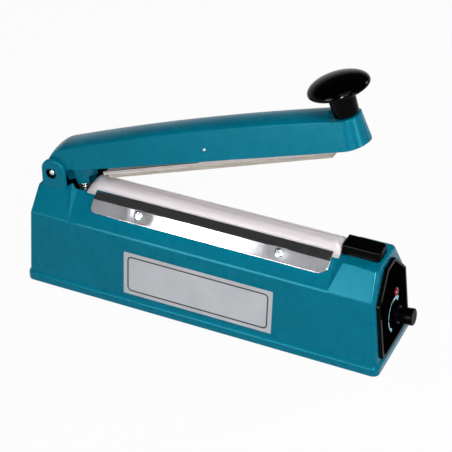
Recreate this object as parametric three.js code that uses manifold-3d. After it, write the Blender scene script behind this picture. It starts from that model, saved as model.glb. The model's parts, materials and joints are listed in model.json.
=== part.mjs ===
// Hand impulse sealer with a 200 mm seal, as an assembly of separate pieces.
// Millimetres, +Z up. +X runs from the hinge end to the control panel, -Y is the side with the label.
// Pieces are laid out round the middle of the base with z = 0 at the underside of the skirt; the whole
// is moved at the end, so that the origin is the middle of its footprint, on the bench.

import * as THREE from 'three';
import { mergeVertices } from 'three/addons/utils/BufferGeometryUtils.js';
import { ConvexGeometry } from 'three/addons/geometries/ConvexGeometry.js';
import Module from 'manifold-3d';

const wasm = await Module();
wasm.setup();

const degrees = THREE.MathUtils.degToRad;

// Clearances shared by every piece
const SEAT = 0.25;            // gap between two pieces that rest on each other
const RUNNING = 0.5;          // gap beside a piece that turns between two others
const HOLE_PLAY = 0.25;       // radial play of a screw, pin or barrel in its hole
const CUT = 5;                // how far a cutting shape runs past the face it cuts

// Casing, a moulded tapered shell open underneath
const BASE_LENGTH = 320;
const BASE_WIDTH = 80;
const SKIRT_HEIGHT = 9;
const SKIRT_LEDGE = 2.4;      // how far the skirt stands out from the walls
const SKIRT_CORNER = 6;
const SKIRT_BEVEL = 1.2;
const BODY_CORNER = 4;        // upright corners at the front
const BODY_REAR_CORNER = 1.6;
const WALL = 2.5;
const CREASE_HEIGHT = 65.7;   // where the walls bend inwards
const CREASE_INSET = 6.95;        // the crease, inside the skirt's outer edge
const FRONT_LEAN = degrees(6.2);
const REAR_LEAN = degrees(1.8);

// Middle of the casing, under the sealing bar
const SHOULDER_RISE = 18.4;       // over the crease
const SHOULDER_HALF = 16;
const RIDGE_RISE = 1.9;           // over the shoulder
const RIDGE_HALF = 9.2;

// Front block, which carries the terminal cover and the control panel
const BLOCK_RISE = 1.8;           // over the ridge
const BLOCK_TOP_HALF = 19.8;
const BLOCK_FOOT_LENGTH = 39.5;   // along the crease
const BLOCK_TOP_LENGTH = 29.5;
const BLOCK_RAMP = 9.6;           // slanted face between the block and the middle

// Hinge end: block, two ears and the well between them
const EAR_BLOCK_DROP = 1;         // its top, below the ridge
const EAR_BLOCK_FOOT = 40.5;      // length along the crease, from the base's rear end
const EAR_BLOCK_TOP = 32;
const EAR_HALF = 17.8;            // outer faces of the ears
const EAR_THICK = 3.2;
const EAR_WIDTH = 22.2;
const EAR_REAR = 9.1;             // rear edge, behind the pin
const EAR_RISE = 13.6;            // top, over the pin
const WELL_FLOOR_RISE = 4.3;      // over the crease
const WELL_END = 47;              // front wall of the well, from the base's rear end
const WELL_FLOOR_INSET = 7.55;    // inside the crease
const LIP_HALF = 13.5;            // inner edges of the well ahead of the ears
const LIP_START = 38;             // from the base's rear end
const LIP_END = 48.5;
const WEB_RISE = 7.4;             // top of the web ahead of each ear, over the ear block
const WEB_REACH = 4.2;            // its peak, ahead of the ear block's top
const WEB_THICK = 2;

// Hinge
const HINGE_SETBACK = 17.6;       // pin, from the base's rear end
const HINGE_RISE = 12.2;          // pin, over the ridge
const PIN_RADIUS = 2.4;
const PIN_COUNTERBORE = 4.8;
const PIN_COUNTERBORE_DEPTH = 2;
const OPEN_ANGLE = degrees(18.67);

// Arm, an inverted channel with a crowned top and a round nose
const ARM_FRONT_SETBACK = 15.6;   // its tip when closed, from the base's front end
const ARM_HALF = 16.5;
const ARM_EDGE = 0.5;             // height of the lower edge over the pin
const ARM_CROWN = 28.3;           // highest point of the top
const ARM_CROWN_SETBACK = 98.7;   // the highest point, behind the tip
const ARM_FALL = 4300;            // the top falls by the distance squared over this
const ARM_TOP_HALF = 12.3;        // half width of the rounded top at its highest place
const ARM_TOP_RISE = 3.3;         // how far the top bulges over the flat sides
const ARM_NOSE_LEAN = 1.9;        // how far the nose leans back over the height of the sides
const ARM_WALL = 2.5;
const ARM_REAR_CORNER = 7;
const NECK_HALF_PLAY = RUNNING;
const NECK_RADIUS = 23.5;         // round cut in the arm's sides that clears the ears
const NECK_RISE = 5;
const ARM_REAR_ROUND = 28;        // the rear end is a quarter of an oval this long
const ARM_REAR_ROUND_DROP = 9;    // middle of that oval, below the pin
const BOSS_RADIUS = 9.3;
const LUG_DROP = 13;              // lug that works the spring and the switch
const LUG_START = 5;
const LUG_END = 26;
const LUG_NEAR = 5;               // its near face, from the middle
const CHEEK_HALF = 9;             // outer faces of the two cheeks ahead of the lug
const CHEEK_INNER = 5.2;
const CHEEK_START = 16.2;
const CHEEK_END = 26.5;
const CHEEK_DROP = 16;
const BULKHEAD_REACH = 30;

// Handle knob
const KNOB_SETBACK = 13.1;        // its axis, behind the arm's tip
const KNOB_SINK = 2.7;            // its seat, below the arm's top
const KNOB_SEAT_RADIUS = 14.5;
const KNOB_BOSS_RADIUS = 10;
const KNOB_BOSS_DEPTH = 9;
const KNOB_STEM_RADIUS = 10;
const KNOB_STEM_TOP_RADIUS = 10.8;
const KNOB_STEM_LENGTH = 17.5;
const KNOB_RADIUS = 24.6;
const KNOB_UNDER = 5.6;
const KNOB_OVER = 9.2;
const KNOB_BOLT_RADIUS = 2.5;
const KNOB_BOLT_GRIP = 12;        // how far the bolt runs up into the knob
const KNOB_BOLT_HEAD = 5;
const KNOB_BOLT_HEAD_HEIGHT = 3;

// Press bar, a rocking channel with a silicone strip
const BAR_PIN_HEIGHT = 9.8;
const BAR_PIN_RADIUS = 1.5;
const BAR_TILT = degrees(1.36);
const BAR_REAR_GAP = 14;          // from the bulkhead to the bar
const BAR_FRONT_GAP = 28.8;       // from the bar to the arm's tip
const BAR_HALF = 8;
const BAR_SHEET = 1.5;
const BAR_FLOOR = 17.15;          // underside of the channel, below its pin
const BAR_RISE = 3.2;             // channel sides above the pin
const STRIP_HALF = 6.5;
const STRIP_THICK = 3.8;
const STRIP_SHORT = 3;            // how far the strip stops short of the channel's ends

// Sealing bar, heating element and its cloth
const SEAL_REAR = 49;             // foot of the bar's rear end, from the base's rear end
const SEAL_FRONT_GAP = 6.7;       // from the bar's front end to the block's top edge
const SEAL_FOOT_HALF = 8.2;
const SEAL_CREST_HALF = 2.8;
const SEAL_CREST_ROUND = 1;
const SEAL_HEIGHT = 8.35;
const SEAL_REAR_SLANT = 8.5;
const SEAL_FRONT_SLANT = 5;
const SEAL_FRONT_DROP = 3.4;
const ELEMENT_HALF = 2;
const ELEMENT_THICK = 0.25;
const CLOTH_THICK = 0.35;
const CLOTH_FLAP = 14.6;          // outer edge of the cloth's flap, from the middle

// Clamp plates, bent from sheet aluminium
const PLATE_REAR_GAP = 9.05;      // from the edge of the well
const PLATE_FRONT_GAP = 3.9;      // from the foot of the front block
const PLATE_SHEET = 1;
const PLATE_LEG = 12.8;
const PLATE_LAP = 7;
const PLATE_CORNER = 5;
const PLATE_SCREW_PITCH = 125.3;
const PLATE_SCREW_RISE = 5.1;     // screw centre below the bend, along the leg
const PLATE_SCREW_RADIUS = 1.5;
const PLATE_SCREW_HEAD = 3.7;
const PLATE_SCREW_HEAD_HEIGHT = 2;
const PLATE_SCREW_SINK = 3;       // flat heads of the far plate's screws
const PLATE_SCREW_LENGTH = 9;

// Terminals and the cover over the front one
const COVER_LENGTH = 32;
const COVER_REAR_GAP = 0.9;       // between the sealing bar and the cover
const COVER_HALF = 9.5;
const COVER_TOP_HALF = 8;
const COVER_HEIGHT = 7.9;
const COVER_CORNER = 3.5;
const COVER_WALL = 1.5;
const COVER_SLOT_HALF = 3;
const COVER_SLOT_HEIGHT = 4.6;
const TERMINAL_LENGTH = 14;
const TERMINAL_HALF = 4;
const TERMINAL_SHEET = 1.2;
const TERMINAL_DROP = 11;

// Control panel on the leaning front face
const BEZEL_INSET = 2.55;         // its sides, inside the crease
const BEZEL_LIFT = 0.9;           // lower edge, above the skirt
const BEZEL_SIDE_DROP = 4.2;      // top of its straight sides, below the crease
const BEZEL_TOP_DROP = 3.9;       // its top, below the block's top
const BEZEL_TOP_INSET = 11;       // half its top edge, inside the block's
const BEZEL_CORNER = 6;
const BEZEL_THICK = 3;
const BEZEL_RIM = 2.6;
const BEZEL_RECESS = 1;
const SCALE_SHEET = 0.5;
const LAMP_ACROSS = 5.3;
const LAMP_RISE = 44.8;
const LAMP_RADIUS = 2.8;
const LAMP_DOME = 1.6;
const LAMP_FLANGE = 3.6;
const LAMP_DEPTH = 12;

// Timer behind the panel
const TIMER_RISE = 26.8;
const TIMER_SHAFT_RADIUS = 2.8;
const TIMER_BUSH_RADIUS = 3.6;
const TIMER_NUT_RADIUS = 5.2;
const TIMER_NUT_HEIGHT = 1.6;
const TIMER_BODY_RADIUS = 8;
const TIMER_BODY_DEPTH = 9;
const TIMER_KNOB_RADIUS = 7.4;
const TIMER_KNOB_LENGTH = 16.2;
const TIMER_KNOB_POCKET = 3;
const TIMER_KNOB_BEVEL = 0.8;
const TIMER_KNOB_WALL = 2;
const BOARD_SIDE_GAP = 6.55;      // from the casing's wall at the crease
const BOARD_TOP_GAP = 7;          // below the crease
const BOARD_FOOT = 6;
const BOARD_SHEET = 1.6;
const RELAY_LENGTH = 19;
const RELAY_WIDTH = 15;
const RELAY_DEPTH = 15;
const CAPACITOR_RADIUS = 6.3;
const CAPACITOR_LENGTH = 20;

// Transformer on the bottom plate
const CORE_LENGTH = 66;
const CORE_HEIGHT = 55;
const CORE_LIMB = 22;
const CORE_WINDOW = 11;
const CORE_WINDOW_HEIGHT = 33;
const CORE_SHIFT = 25;            // its middle, ahead of the base's middle
const COIL_BUILD = 9;             // thickness of the winding beside the core
const COIL_SIDE_GAP = 3.55;       // from the winding to the casing's wall at the crease
const STRAP_SHEET = 1.5;
const STRAP_HALF = 11;
const STRAP_FOOT = 11;
const STRAP_SCREW_RADIUS = 2;
const STRAP_SCREW_HEAD = 3.8;
const STRAP_SCREW_HEAD_HEIGHT = 2.4;

// Bottom plate, feet and screws
const PLATE_BASE_SHEET = 1.5;
const PLATE_BASE_RECESS = 1.5;    // how far the plate sits up inside the skirt
const BOSS_SETBACK = 14;          // casing bosses, from each end of the base
const BOSS_INSET = 10;            // from each side of the base
const CASING_BOSS_RADIUS = 4.2;
const CASING_BOSS_HEIGHT = 26;
const BASE_SCREW_RADIUS = 1.5;
const BASE_SCREW_HEAD = 3;
const BASE_SCREW_HEAD_HEIGHT = 1.6;
const BASE_SCREW_LENGTH = 14;
const FOOT_RADIUS = 7.5;
const FOOT_DROP = 3;              // how far the feet stand below the skirt
const FOOT_SETBACK = 34;
const FOOT_INSET = 16;            // from each side of the base
const FOOT_STUD = 2.5;
const FOOT_TAPER = 1;

// Cord inlet, label, switch and spring
const GLAND_HEIGHT = 24;
const GLAND_RADIUS = 5.5;
const GLAND_FLANGE = 8;
const GLAND_FLANGE_THICK = 2.5;
const GLAND_NOSE = 9;
const GLAND_BORE = 3.2;
const LABEL_LENGTH = 133.8;
const LABEL_WIDTH = 39.8;
const LABEL_HEIGHT = 32.5;        // height of its middle
const LABEL_SHEET = 0.4;
const LABEL_CORNER = 0.8;
const SWITCH_LENGTH = 20;
const SWITCH_WIDTH = 6.4;
const SWITCH_HEIGHT = 10;
const SWITCH_ACROSS = 8.4;
const SWITCH_SETBACK = 12;        // its rear end, from the base's rear end
const LEVER_LENGTH = 21;
const LEVER_SHEET = 0.6;
const LEVER_HALF = 2;
const LEVER_ANGLE = degrees(16.5);
const LEVER_HUB = 1.1;
const SPRING_SETBACK = 39;
const SPRING_RADIUS = 3.9;
const SPRING_WIRE = 0.6;          // radius of the wire
const SPRING_TURNS = 7;
const SPRING_STEPS = 8;           // points in a turn
const SPRING_SIDES = 5;
const SPRING_PLAY = 0.64;         // under the lug, with the arm open

// Finishes
const finishes = {
  casing: [0x00708a, 0.38, 0],
  black: [0x101012, 0.25, 0],
  aluminium: [0xc9ccd0, 0.22, 1],
  steel: [0xb4b7bb, 0.3, 1],
  plated: [0x9fa3a8, 0.45, 1],
  silicone: [0xb9a88f, 0.7, 0],
  cloth: [0xcfc4c6, 0.55, 0],
  bakelite: [0x5a2f22, 0.6, 0],
  brass: [0xb99a55, 0.35, 1],
  rubber: [0x1b1b1c, 0.85, 0],
  lens: [0xb01414, 0.2, 0],
  label: [0xc4cad0, 0.5, 0],
  board: [0x2f6a3c, 0.6, 0],
  relay: [0x1d2c4f, 0.5, 0],
  winding: [0x7a3a1c, 0.55, 0],
  core: [0x55585c, 0.6, 0.6],
  print: [0x151517, 0.45, 0],
};

// Solids and meshes
function solid(geometry) {
  const bare = new THREE.BufferGeometry();
  bare.setAttribute('position', geometry.getAttribute('position').clone());
  if (geometry.index) {
    bare.setIndex(geometry.index.clone());
  }
  const merged = mergeVertices(bare, 1e-4);
  const index = merged.index.array;
  const triangles = [];
  for (let i = 0; i < index.length; i += 3) {
    const [a, b, c] = [index[i], index[i + 1], index[i + 2]];
    if (a !== b && b !== c && a !== c) {
      triangles.push(a, b, c);
    }
  }
  const vertProperties = new Float32Array(merged.getAttribute('position').array);
  const triVerts = new Uint32Array(triangles);
  return new wasm.Manifold(new wasm.Mesh({ numProp: 3, vertProperties, triVerts }));
}

function surface(manifold) {
  const mesh = manifold.getMesh();
  const geometry = new THREE.BufferGeometry();
  geometry.setAttribute('position', new THREE.BufferAttribute(mesh.vertProperties, 3));
  geometry.setIndex(new THREE.BufferAttribute(mesh.triVerts, 1));
  return geometry;
}

function join(...shapes) {
  return shapes.reduce((sum, shape) => sum.add(shape));
}

function cut(body, ...tools) {
  return tools.reduce((left, tool) => left.subtract(tool), body);
}

function addPart(parent, name, shape, finish) {
  const [color, roughness, metalness] = finishes[finish];
  const material = new THREE.MeshStandardMaterial({ color, roughness, metalness });
  const mesh = new THREE.Mesh(shape.isBufferGeometry ? shape : surface(shape), material);
  mesh.name = name;
  parent.add(mesh);
  return mesh;
}

// Outlines
function roundedShape(points, radii) {
  const shape = new THREE.Shape();
  const count = points.length;
  for (let i = 0; i < count; i += 1) {
    const radius = Array.isArray(radii) ? radii[i] : radii;
    const corner = new THREE.Vector2(...points[i]);
    const before = new THREE.Vector2(...points[(i + count - 1) % count]).sub(corner).normalize();
    const after = new THREE.Vector2(...points[(i + 1) % count]).sub(corner).normalize();
    const half = before.angleTo(after) / 2;
    const reach = radius / Math.tan(half);
    const start = corner.clone().addScaledVector(before, reach);
    const end = corner.clone().addScaledVector(after, reach);
    if (i === 0) {
      shape.moveTo(start.x, start.y);
    } else {
      shape.lineTo(start.x, start.y);
    }
    if (radius > 0) {
      shape.quadraticCurveTo(corner.x, corner.y, end.x, end.y);
    }
  }
  shape.closePath();
  return shape;
}

function polygon(points) {
  return new THREE.Shape(points.map(([x, y]) => new THREE.Vector2(x, y)));
}

function rectangle(x0, y0, x1, y1) {
  return [[x0, y0], [x1, y0], [x1, y1], [x0, y1]];
}

// Half of a symmetric outline is given on the +Y side, from the bottom up
function mirrored(half) {
  return [...half, ...half.map(([y, z]) => [-y, z]).reverse()];
}

function offsetLine(points, distance) {
  const normals = points.slice(1).map(([x, y], i) => {
    const [x0, y0] = points[i];
    return new THREE.Vector2(y - y0, x0 - x).normalize();
  });
  return points.map(([x, y], i) => {
    const a = normals[Math.max(i - 1, 0)];
    const b = normals[Math.min(i, normals.length - 1)];
    const miter = a.clone().add(b);
    miter.multiplyScalar(distance * 2 / miter.lengthSq());
    return [x + miter.x, y + miter.y];
  });
}

// Prisms along each axis
const AXIS_X = new THREE.Vector3(1, 0, 0);
const AXIS_Y = new THREE.Vector3(0, 1, 0);
const AXIS_Z = new THREE.Vector3(0, 0, 1);
const alongX = new THREE.Matrix4().makeBasis(AXIS_Y, AXIS_Z, AXIS_X);
const alongY = new THREE.Matrix4().makeBasis(AXIS_X, AXIS_Z, AXIS_Y.clone().negate());

function extruded(shape, depth, steps = 1) {
  return new THREE.ExtrudeGeometry(shape, { depth, steps, bevelEnabled: false, curveSegments: 5 });
}

function prismX(shape, x0, x1, steps) {
  return extruded(shape, x1 - x0, steps).applyMatrix4(alongX).translate(x0, 0, 0);
}

function prismY(shape, y0, y1) {
  return extruded(shape, y1 - y0).applyMatrix4(alongY).translate(0, y1, 0);
}

function prismZ(shape, z0, z1) {
  return extruded(shape, z1 - z0).translate(0, 0, z0);
}

function box(x0, y0, z0, x1, y1, z1) {
  const geometry = new THREE.BoxGeometry(x1 - x0, y1 - y0, z1 - z0);
  return geometry.translate((x0 + x1) / 2, (y0 + y1) / 2, (z0 + z1) / 2);
}

function rodZ(radius, z0, z1, segments = 24) {
  const geometry = new THREE.CylinderGeometry(radius, radius, z1 - z0, segments);
  return geometry.rotateX(Math.PI / 2).translate(0, 0, (z0 + z1) / 2);
}

function rodY(radius, y0, y1, segments = 32) {
  const geometry = new THREE.CylinderGeometry(radius, radius, y1 - y0, segments);
  return geometry.translate(0, (y0 + y1) / 2, 0);
}

function turned(profile, segments = 32) {
  const points = profile.map(([r, z]) => new THREE.Vector2(r, z));
  return new THREE.LatheGeometry(points, segments).rotateX(Math.PI / 2);
}

function hull(points) {
  return new ConvexGeometry(points.map((p) => new THREE.Vector3(...p)));
}

// Casing faces by height
const rearEnd = -BASE_LENGTH / 2;
const frontEnd = BASE_LENGTH / 2;
const bodyHalf = BASE_WIDTH / 2 - SKIRT_LEDGE;
const creaseHalf = BASE_WIDTH / 2 - CREASE_INSET;
const sideDraft = (bodyHalf - creaseHalf) / (CREASE_HEIGHT - SKIRT_HEIGHT);
const shoulderHeight = CREASE_HEIGHT + SHOULDER_RISE;
const ridgeHeight = shoulderHeight + RIDGE_RISE;
const blockHeight = ridgeHeight + BLOCK_RISE;
const earBlockHeight = ridgeHeight - EAR_BLOCK_DROP;
const webPeak = earBlockHeight + WEB_RISE;
const wellFloor = CREASE_HEIGHT + WELL_FLOOR_RISE;
const wellFloorHalf = creaseHalf - WELL_FLOOR_INSET;
const hingeHeight = ridgeHeight + HINGE_RISE;
const earTop = hingeHeight + EAR_RISE;

function frontX(z) {
  return frontEnd - SKIRT_LEDGE - Math.tan(FRONT_LEAN) * (z - SKIRT_HEIGHT);
}

function rearX(z) {
  return rearEnd + SKIRT_LEDGE + Math.tan(REAR_LEAN) * (z - SKIRT_HEIGHT);
}

// Height along the leaning front face
function faceRise(z) {
  return (z - SKIRT_HEIGHT) / Math.cos(FRONT_LEAN);
}

function sideY(z) {
  return bodyHalf - sideDraft * (z - SKIRT_HEIGHT);
}

// Matrix of the leaning front face: x across, y up the face, z out of it
const faceUp = new THREE.Vector3(-Math.sin(FRONT_LEAN), 0, Math.cos(FRONT_LEAN));
const faceOut = new THREE.Vector3(Math.cos(FRONT_LEAN), 0, Math.sin(FRONT_LEAN));
const faceMatrix = new THREE.Matrix4().makeBasis(AXIS_Y, faceUp, faceOut);
faceMatrix.setPosition(frontX(SKIRT_HEIGHT), 0, SKIRT_HEIGHT);

// Main places along the base
const hingeX = rearEnd + HINGE_SETBACK;
const armReach = frontEnd - ARM_FRONT_SETBACK - hingeX;
const blockFootX = frontX(CREASE_HEIGHT) - BLOCK_FOOT_LENGTH;
const blockTopX = frontX(blockHeight) - BLOCK_TOP_LENGTH;
const wellEndX = rearEnd + WELL_END;
const earRearX = hingeX - EAR_REAR;
const earInner = EAR_HALF - EAR_THICK;
const sealRearX = rearEnd + SEAL_REAR;
const sealFrontX = blockTopX - SEAL_FRONT_GAP;
const sealFootZ = ridgeHeight + SEAT;
const sealCrestZ = sealFootZ + SEAL_HEIGHT;
const coverRearX = sealFrontX + COVER_REAR_GAP;
const plateRearX = rearEnd + LIP_END + PLATE_REAR_GAP;
const plateFrontX = blockFootX - PLATE_FRONT_GAP;
const plateMiddleX = (plateRearX + plateFrontX) / 2;
const bossX = [rearEnd + BOSS_SETBACK, frontEnd - BOSS_SETBACK];
const bossY = BASE_WIDTH / 2 - BOSS_INSET;
const footX = frontEnd - FOOT_SETBACK;
const footY = BASE_WIDTH / 2 - FOOT_INSET;
const plateBaseZ = PLATE_BASE_RECESS;
const plateTopZ = plateBaseZ + PLATE_BASE_SHEET;

const slopeAngle = Math.atan2(shoulderHeight - CREASE_HEIGHT, creaseHalf - SHOULDER_HALF);
const lipHeight = CREASE_HEIGHT + (creaseHalf - LIP_HALF) * Math.tan(slopeAngle);

// Near-side slope and ridge of the middle, as a line from the crease up to the ridge's edge
const slopeLine = [
  [creaseHalf, CREASE_HEIGHT],
  [SHOULDER_HALF, shoulderHeight],
  [RIDGE_HALF, ridgeHeight],
];

// Corner points of a level rectangle, with its own corner radius at each end
function ring(x0, x1, half, z, rearCorner, frontCorner) {
  const corners = [rearCorner, frontCorner, frontCorner, rearCorner];
  const outline = roundedShape(rectangle(x0, -half, x1, half), corners);
  return outline.getPoints(4).map((p) => [p.x, p.y, z]);
}

function lowerBody(z0, z1, inset) {
  return solid(hull([z0, z1].flatMap((z) => ring(rearX(z) + inset, frontX(z) - inset,
    sideY(z) - inset, z, BODY_REAR_CORNER, BODY_CORNER))));
}

function skirt() {
  const half = BASE_WIDTH / 2;
  const levels = [[0, 0], [SKIRT_HEIGHT - SKIRT_BEVEL, 0], [SKIRT_HEIGHT, SKIRT_BEVEL]];
  const points = levels.flatMap(([z, inset]) => {
    const corners = rectangle(rearEnd + inset, inset - half, frontEnd - inset, half - inset);
    return roundedShape(corners, SKIRT_CORNER).getPoints(4).map((p) => [p.x, p.y, z]);
  });
  return solid(hull(points));
}

function ears() {
  const x0 = earRearX;
  const x1 = x0 + EAR_WIDTH;
  const round = EAR_WIDTH / 2;
  const middleX = x0 + round;
  const shape = new THREE.Shape();
  shape.moveTo(x0, CREASE_HEIGHT);
  shape.lineTo(x1, CREASE_HEIGHT);
  shape.lineTo(x1, earTop - round);
  shape.absarc(middleX, earTop - round, round, 0, Math.PI, false);
  shape.closePath();
  const geometry = new THREE.ExtrudeGeometry(shape, {
    depth: EAR_THICK, bevelEnabled: false, curveSegments: 20,
  });
  geometry.applyMatrix4(alongY);
  const near = geometry.clone().translate(0, -earInner, 0);
  const far = geometry.clone().translate(0, EAR_HALF, 0);
  return join(solid(near), solid(far));
}

// Web that closes each end of the ear block and falls to the lower middle of the casing
function web(side) {
  const lowX = rearEnd + EAR_BLOCK_FOOT;
  const topX = rearEnd + EAR_BLOCK_TOP;
  const peakX = topX + WEB_REACH;
  const lipX = rearEnd + LIP_START;
  return solid(hull([
    [lowX, side * creaseHalf, CREASE_HEIGHT],
    [topX, side * EAR_HALF, earBlockHeight],
    [peakX, side * earInner, webPeak],
    [peakX, side * (earInner - WEB_THICK / 2), webPeak - WEB_THICK],
    [lipX + WEB_THICK, side * LIP_HALF, lipHeight],
    [lipX + WEB_THICK, side * LIP_HALF, CREASE_HEIGHT],
    [topX - WEB_THICK, side * earInner, earBlockHeight + WEB_THICK],
    [topX - WEB_THICK, side * earInner, CREASE_HEIGHT],
    [lowX, side * LIP_HALF, CREASE_HEIGHT],
  ]));
}

// Edge of the well ahead of the ears, where the slope runs on up
function lip(side) {
  const outline = [
    [LIP_HALF, CREASE_HEIGHT], [creaseHalf, CREASE_HEIGHT], [LIP_HALF, lipHeight],
  ];
  const shape = polygon(outline.map(([y, z]) => [side * y, z]));
  return solid(prismX(shape, rearEnd + LIP_START, rearEnd + LIP_END));
}

function casing() {
  const blockFoot = [blockFootX, frontX(CREASE_HEIGHT)];
  const blockTop = [blockTopX, frontX(blockHeight)];
  const sides = [-1, 1];
  const block = hull([
    ...ring(...blockFoot, creaseHalf, CREASE_HEIGHT, 0, BODY_CORNER),
    ...ring(...blockTop, BLOCK_TOP_HALF, blockHeight, 0, BODY_CORNER),
    ...sides.map((side) => [blockTopX - BLOCK_RAMP, side * SHOULDER_HALF, shoulderHeight]),
  ]);
  const earBlock = hull([
    ...ring(rearX(CREASE_HEIGHT), rearEnd + EAR_BLOCK_FOOT, creaseHalf, CREASE_HEIGHT,
      BODY_REAR_CORNER, 0),
    ...ring(rearX(earBlockHeight), rearEnd + EAR_BLOCK_TOP, EAR_HALF, earBlockHeight,
      BODY_REAR_CORNER, 0),
  ]);
  const middle = prismX(polygon(mirrored(slopeLine)), rearEnd + EAR_BLOCK_TOP, blockTopX);
  const outer = join(
    skirt(), lowerBody(SKIRT_HEIGHT - SKIRT_BEVEL, CREASE_HEIGHT, 0),
    solid(block), solid(earBlock), solid(middle), ears(), web(-1), web(1),
  );

  const roomHalf = creaseHalf - WALL - 1.5 * SEAT;
  const innerLine = offsetLine(slopeLine, -WALL);
  const roomLine = [[roomHalf, wellFloor - 3 * WALL], ...innerLine];
  const room = prismX(polygon(mirrored(roomLine)), wellEndX + WALL, frontX(ridgeHeight) - 2 * WALL);
  const lowRoom = lowerBody(-CUT, CREASE_HEIGHT - WALL / 2, WALL);
  const wellLine = [
    [wellFloorHalf, wellFloor],
    [earInner, wellFloor + (wellFloorHalf - earInner) * Math.tan(slopeAngle)],
    [earInner, earTop + CUT],
  ];
  const well = prismX(polygon(mirrored(wellLine)), rearX(earBlockHeight) + WALL, wellEndX);
  let shell = join(cut(outer, solid(room), lowRoom, solid(well)), lip(-1), lip(1));

  for (const x of bossX) {
    for (const side of sides) {
      const boss = rodZ(CASING_BOSS_RADIUS, plateTopZ + SEAT, plateTopZ + CASING_BOSS_HEIGHT);
      shell = shell.add(solid(boss.translate(x, side * bossY, 0)));
      const bore = rodZ(BASE_SCREW_RADIUS + HOLE_PLAY, 0, plateTopZ + BASE_SCREW_LENGTH + CUT, 12);
      shell = shell.subtract(solid(bore.translate(x, side * bossY, 0)));
    }
  }
  const reach = EAR_HALF + CUT;
  const pinBore = rodY(PIN_RADIUS + HOLE_PLAY, -reach, reach, 24);
  const counterbores = sides.map((side) => {
    const depth = EAR_HALF - PIN_COUNTERBORE_DEPTH;
    const sink = rodY(PIN_COUNTERBORE, Math.min(side * depth, side * reach),
      Math.max(side * depth, side * reach), 32);
    return solid(sink.translate(hingeX, 0, hingeHeight));
  });
  shell = cut(shell, solid(pinBore.translate(hingeX, 0, hingeHeight)), ...counterbores);

  const throughFace = WALL * 2;
  const bushHole = rodZ(TIMER_BUSH_RADIUS + HOLE_PLAY, -throughFace, CUT).translate(0, TIMER_RISE, 0);
  const lampHole = rodZ(LAMP_RADIUS + HOLE_PLAY, -throughFace, CUT).translate(LAMP_ACROSS, LAMP_RISE, 0);
  const glandHole = rodZ(GLAND_RADIUS + HOLE_PLAY, -throughFace, CUT);
  glandHole.rotateY(-Math.PI / 2).translate(rearX(GLAND_HEIGHT), 0, GLAND_HEIGHT);
  shell = cut(
    shell, solid(bushHole.applyMatrix4(faceMatrix)), solid(lampHole.applyMatrix4(faceMatrix)),
    solid(glandHole), ...plateScrewPlaces().map((place) => {
      const hole = rodZ(PLATE_SCREW_RADIUS + HOLE_PLAY, -PLATE_SCREW_LENGTH, CUT, 12);
      return solid(hole.applyMatrix4(place));
    }),
  );
  return shell;
}

// Clamp plates and the screws square to their legs
const plateGap = SEAT + CLOTH_THICK + SEAT;

function plateScrewPlaces() {
  const outer = offsetLine(slopeLine, plateGap + PLATE_SHEET);
  const [y, z] = outer[1];
  const drop = PLATE_SCREW_RISE;
  const places = [];
  for (const side of [-1, 1]) {
    for (const end of [-1, 1]) {
      const out = new THREE.Vector3(0, side * Math.sin(slopeAngle), Math.cos(slopeAngle));
      const along = new THREE.Vector3(0, side * Math.cos(slopeAngle), -Math.sin(slopeAngle));
      const across = along.clone().cross(out);
      const place = new THREE.Matrix4().makeBasis(across, along.clone(), out).multiply(flipToRight);
      const centre = new THREE.Vector3(plateMiddleX + end * PLATE_SCREW_PITCH / 2, side * y, z);
      centre.addScaledVector(along, drop);
      place.setPosition(centre);
      places.push(place);
    }
  }
  return places;
}

const flipToRight = new THREE.Matrix4().makeRotationZ(Math.PI / 2);

function clampPlate(side) {
  const line = [...slopeLine];
  const inner = offsetLine(line, plateGap);
  const outer = offsetLine(line, plateGap + PLATE_SHEET);
  const trim = (points, bend) => {
    const down = new THREE.Vector2(...points[0]).sub(new THREE.Vector2(...bend)).normalize();
    const up = new THREE.Vector2(...points[2]).sub(new THREE.Vector2(...bend)).normalize();
    return [
      [bend[0] + down.x * PLATE_LEG, bend[1] + down.y * PLATE_LEG],
      bend,
      [bend[0] + up.x * PLATE_LAP, bend[1] + up.y * PLATE_LAP],
    ];
  };
  const outline = [...trim(inner, inner[1]), ...trim(outer, outer[1]).reverse()];
  const section = polygon(outline.map(([y, z]) => [side * y, z]));
  const lowest = Math.min(...outline.map(([, z]) => z));
  const corners = [PLATE_CORNER, PLATE_CORNER, 0, 0];
  const face = rectangle(plateRearX, lowest, plateFrontX, blockHeight + CUT);
  const front = roundedShape(face, corners);
  let plate = solid(prismX(section, plateRearX, plateFrontX));
  plate = plate.intersect(solid(prismY(front, -BASE_WIDTH / 2, BASE_WIDTH / 2)));
  const places = plateScrewPlaces().filter((place) => Math.sign(place.elements[13]) === side);
  const shank = PLATE_SCREW_RADIUS + HOLE_PLAY;
  const sink = side > 0 ? PLATE_SCREW_SINK + HOLE_PLAY : shank;
  return cut(plate, ...places.map((place) => {
    const hole = turned([
      [0, -PLATE_SCREW_LENGTH], [shank, -PLATE_SCREW_LENGTH], [shank, -PLATE_SHEET], [sink, 0],
      [sink, CUT], [0, CUT],
    ], 20);
    return solid(hole.applyMatrix4(place));
  }));
}

// Flat head that fills the hole's cone, for the far plate
function sunkScrew() {
  return turned([
    [0, -PLATE_SCREW_LENGTH], [PLATE_SCREW_RADIUS, -PLATE_SCREW_LENGTH],
    [PLATE_SCREW_RADIUS, -PLATE_SHEET], [PLATE_SCREW_SINK, 0], [0, 0],
  ], 20);
}

function panScrew(radius, length, head, headHeight, segments = 20) {
  return turned([
    [0, -length], [radius, -length], [radius, 0], [head, 0], [head, headHeight / 3],
    [head * 0.8, headHeight * 0.8], [head * 0.4, headHeight], [0, headHeight],
  ], segments);
}

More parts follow.
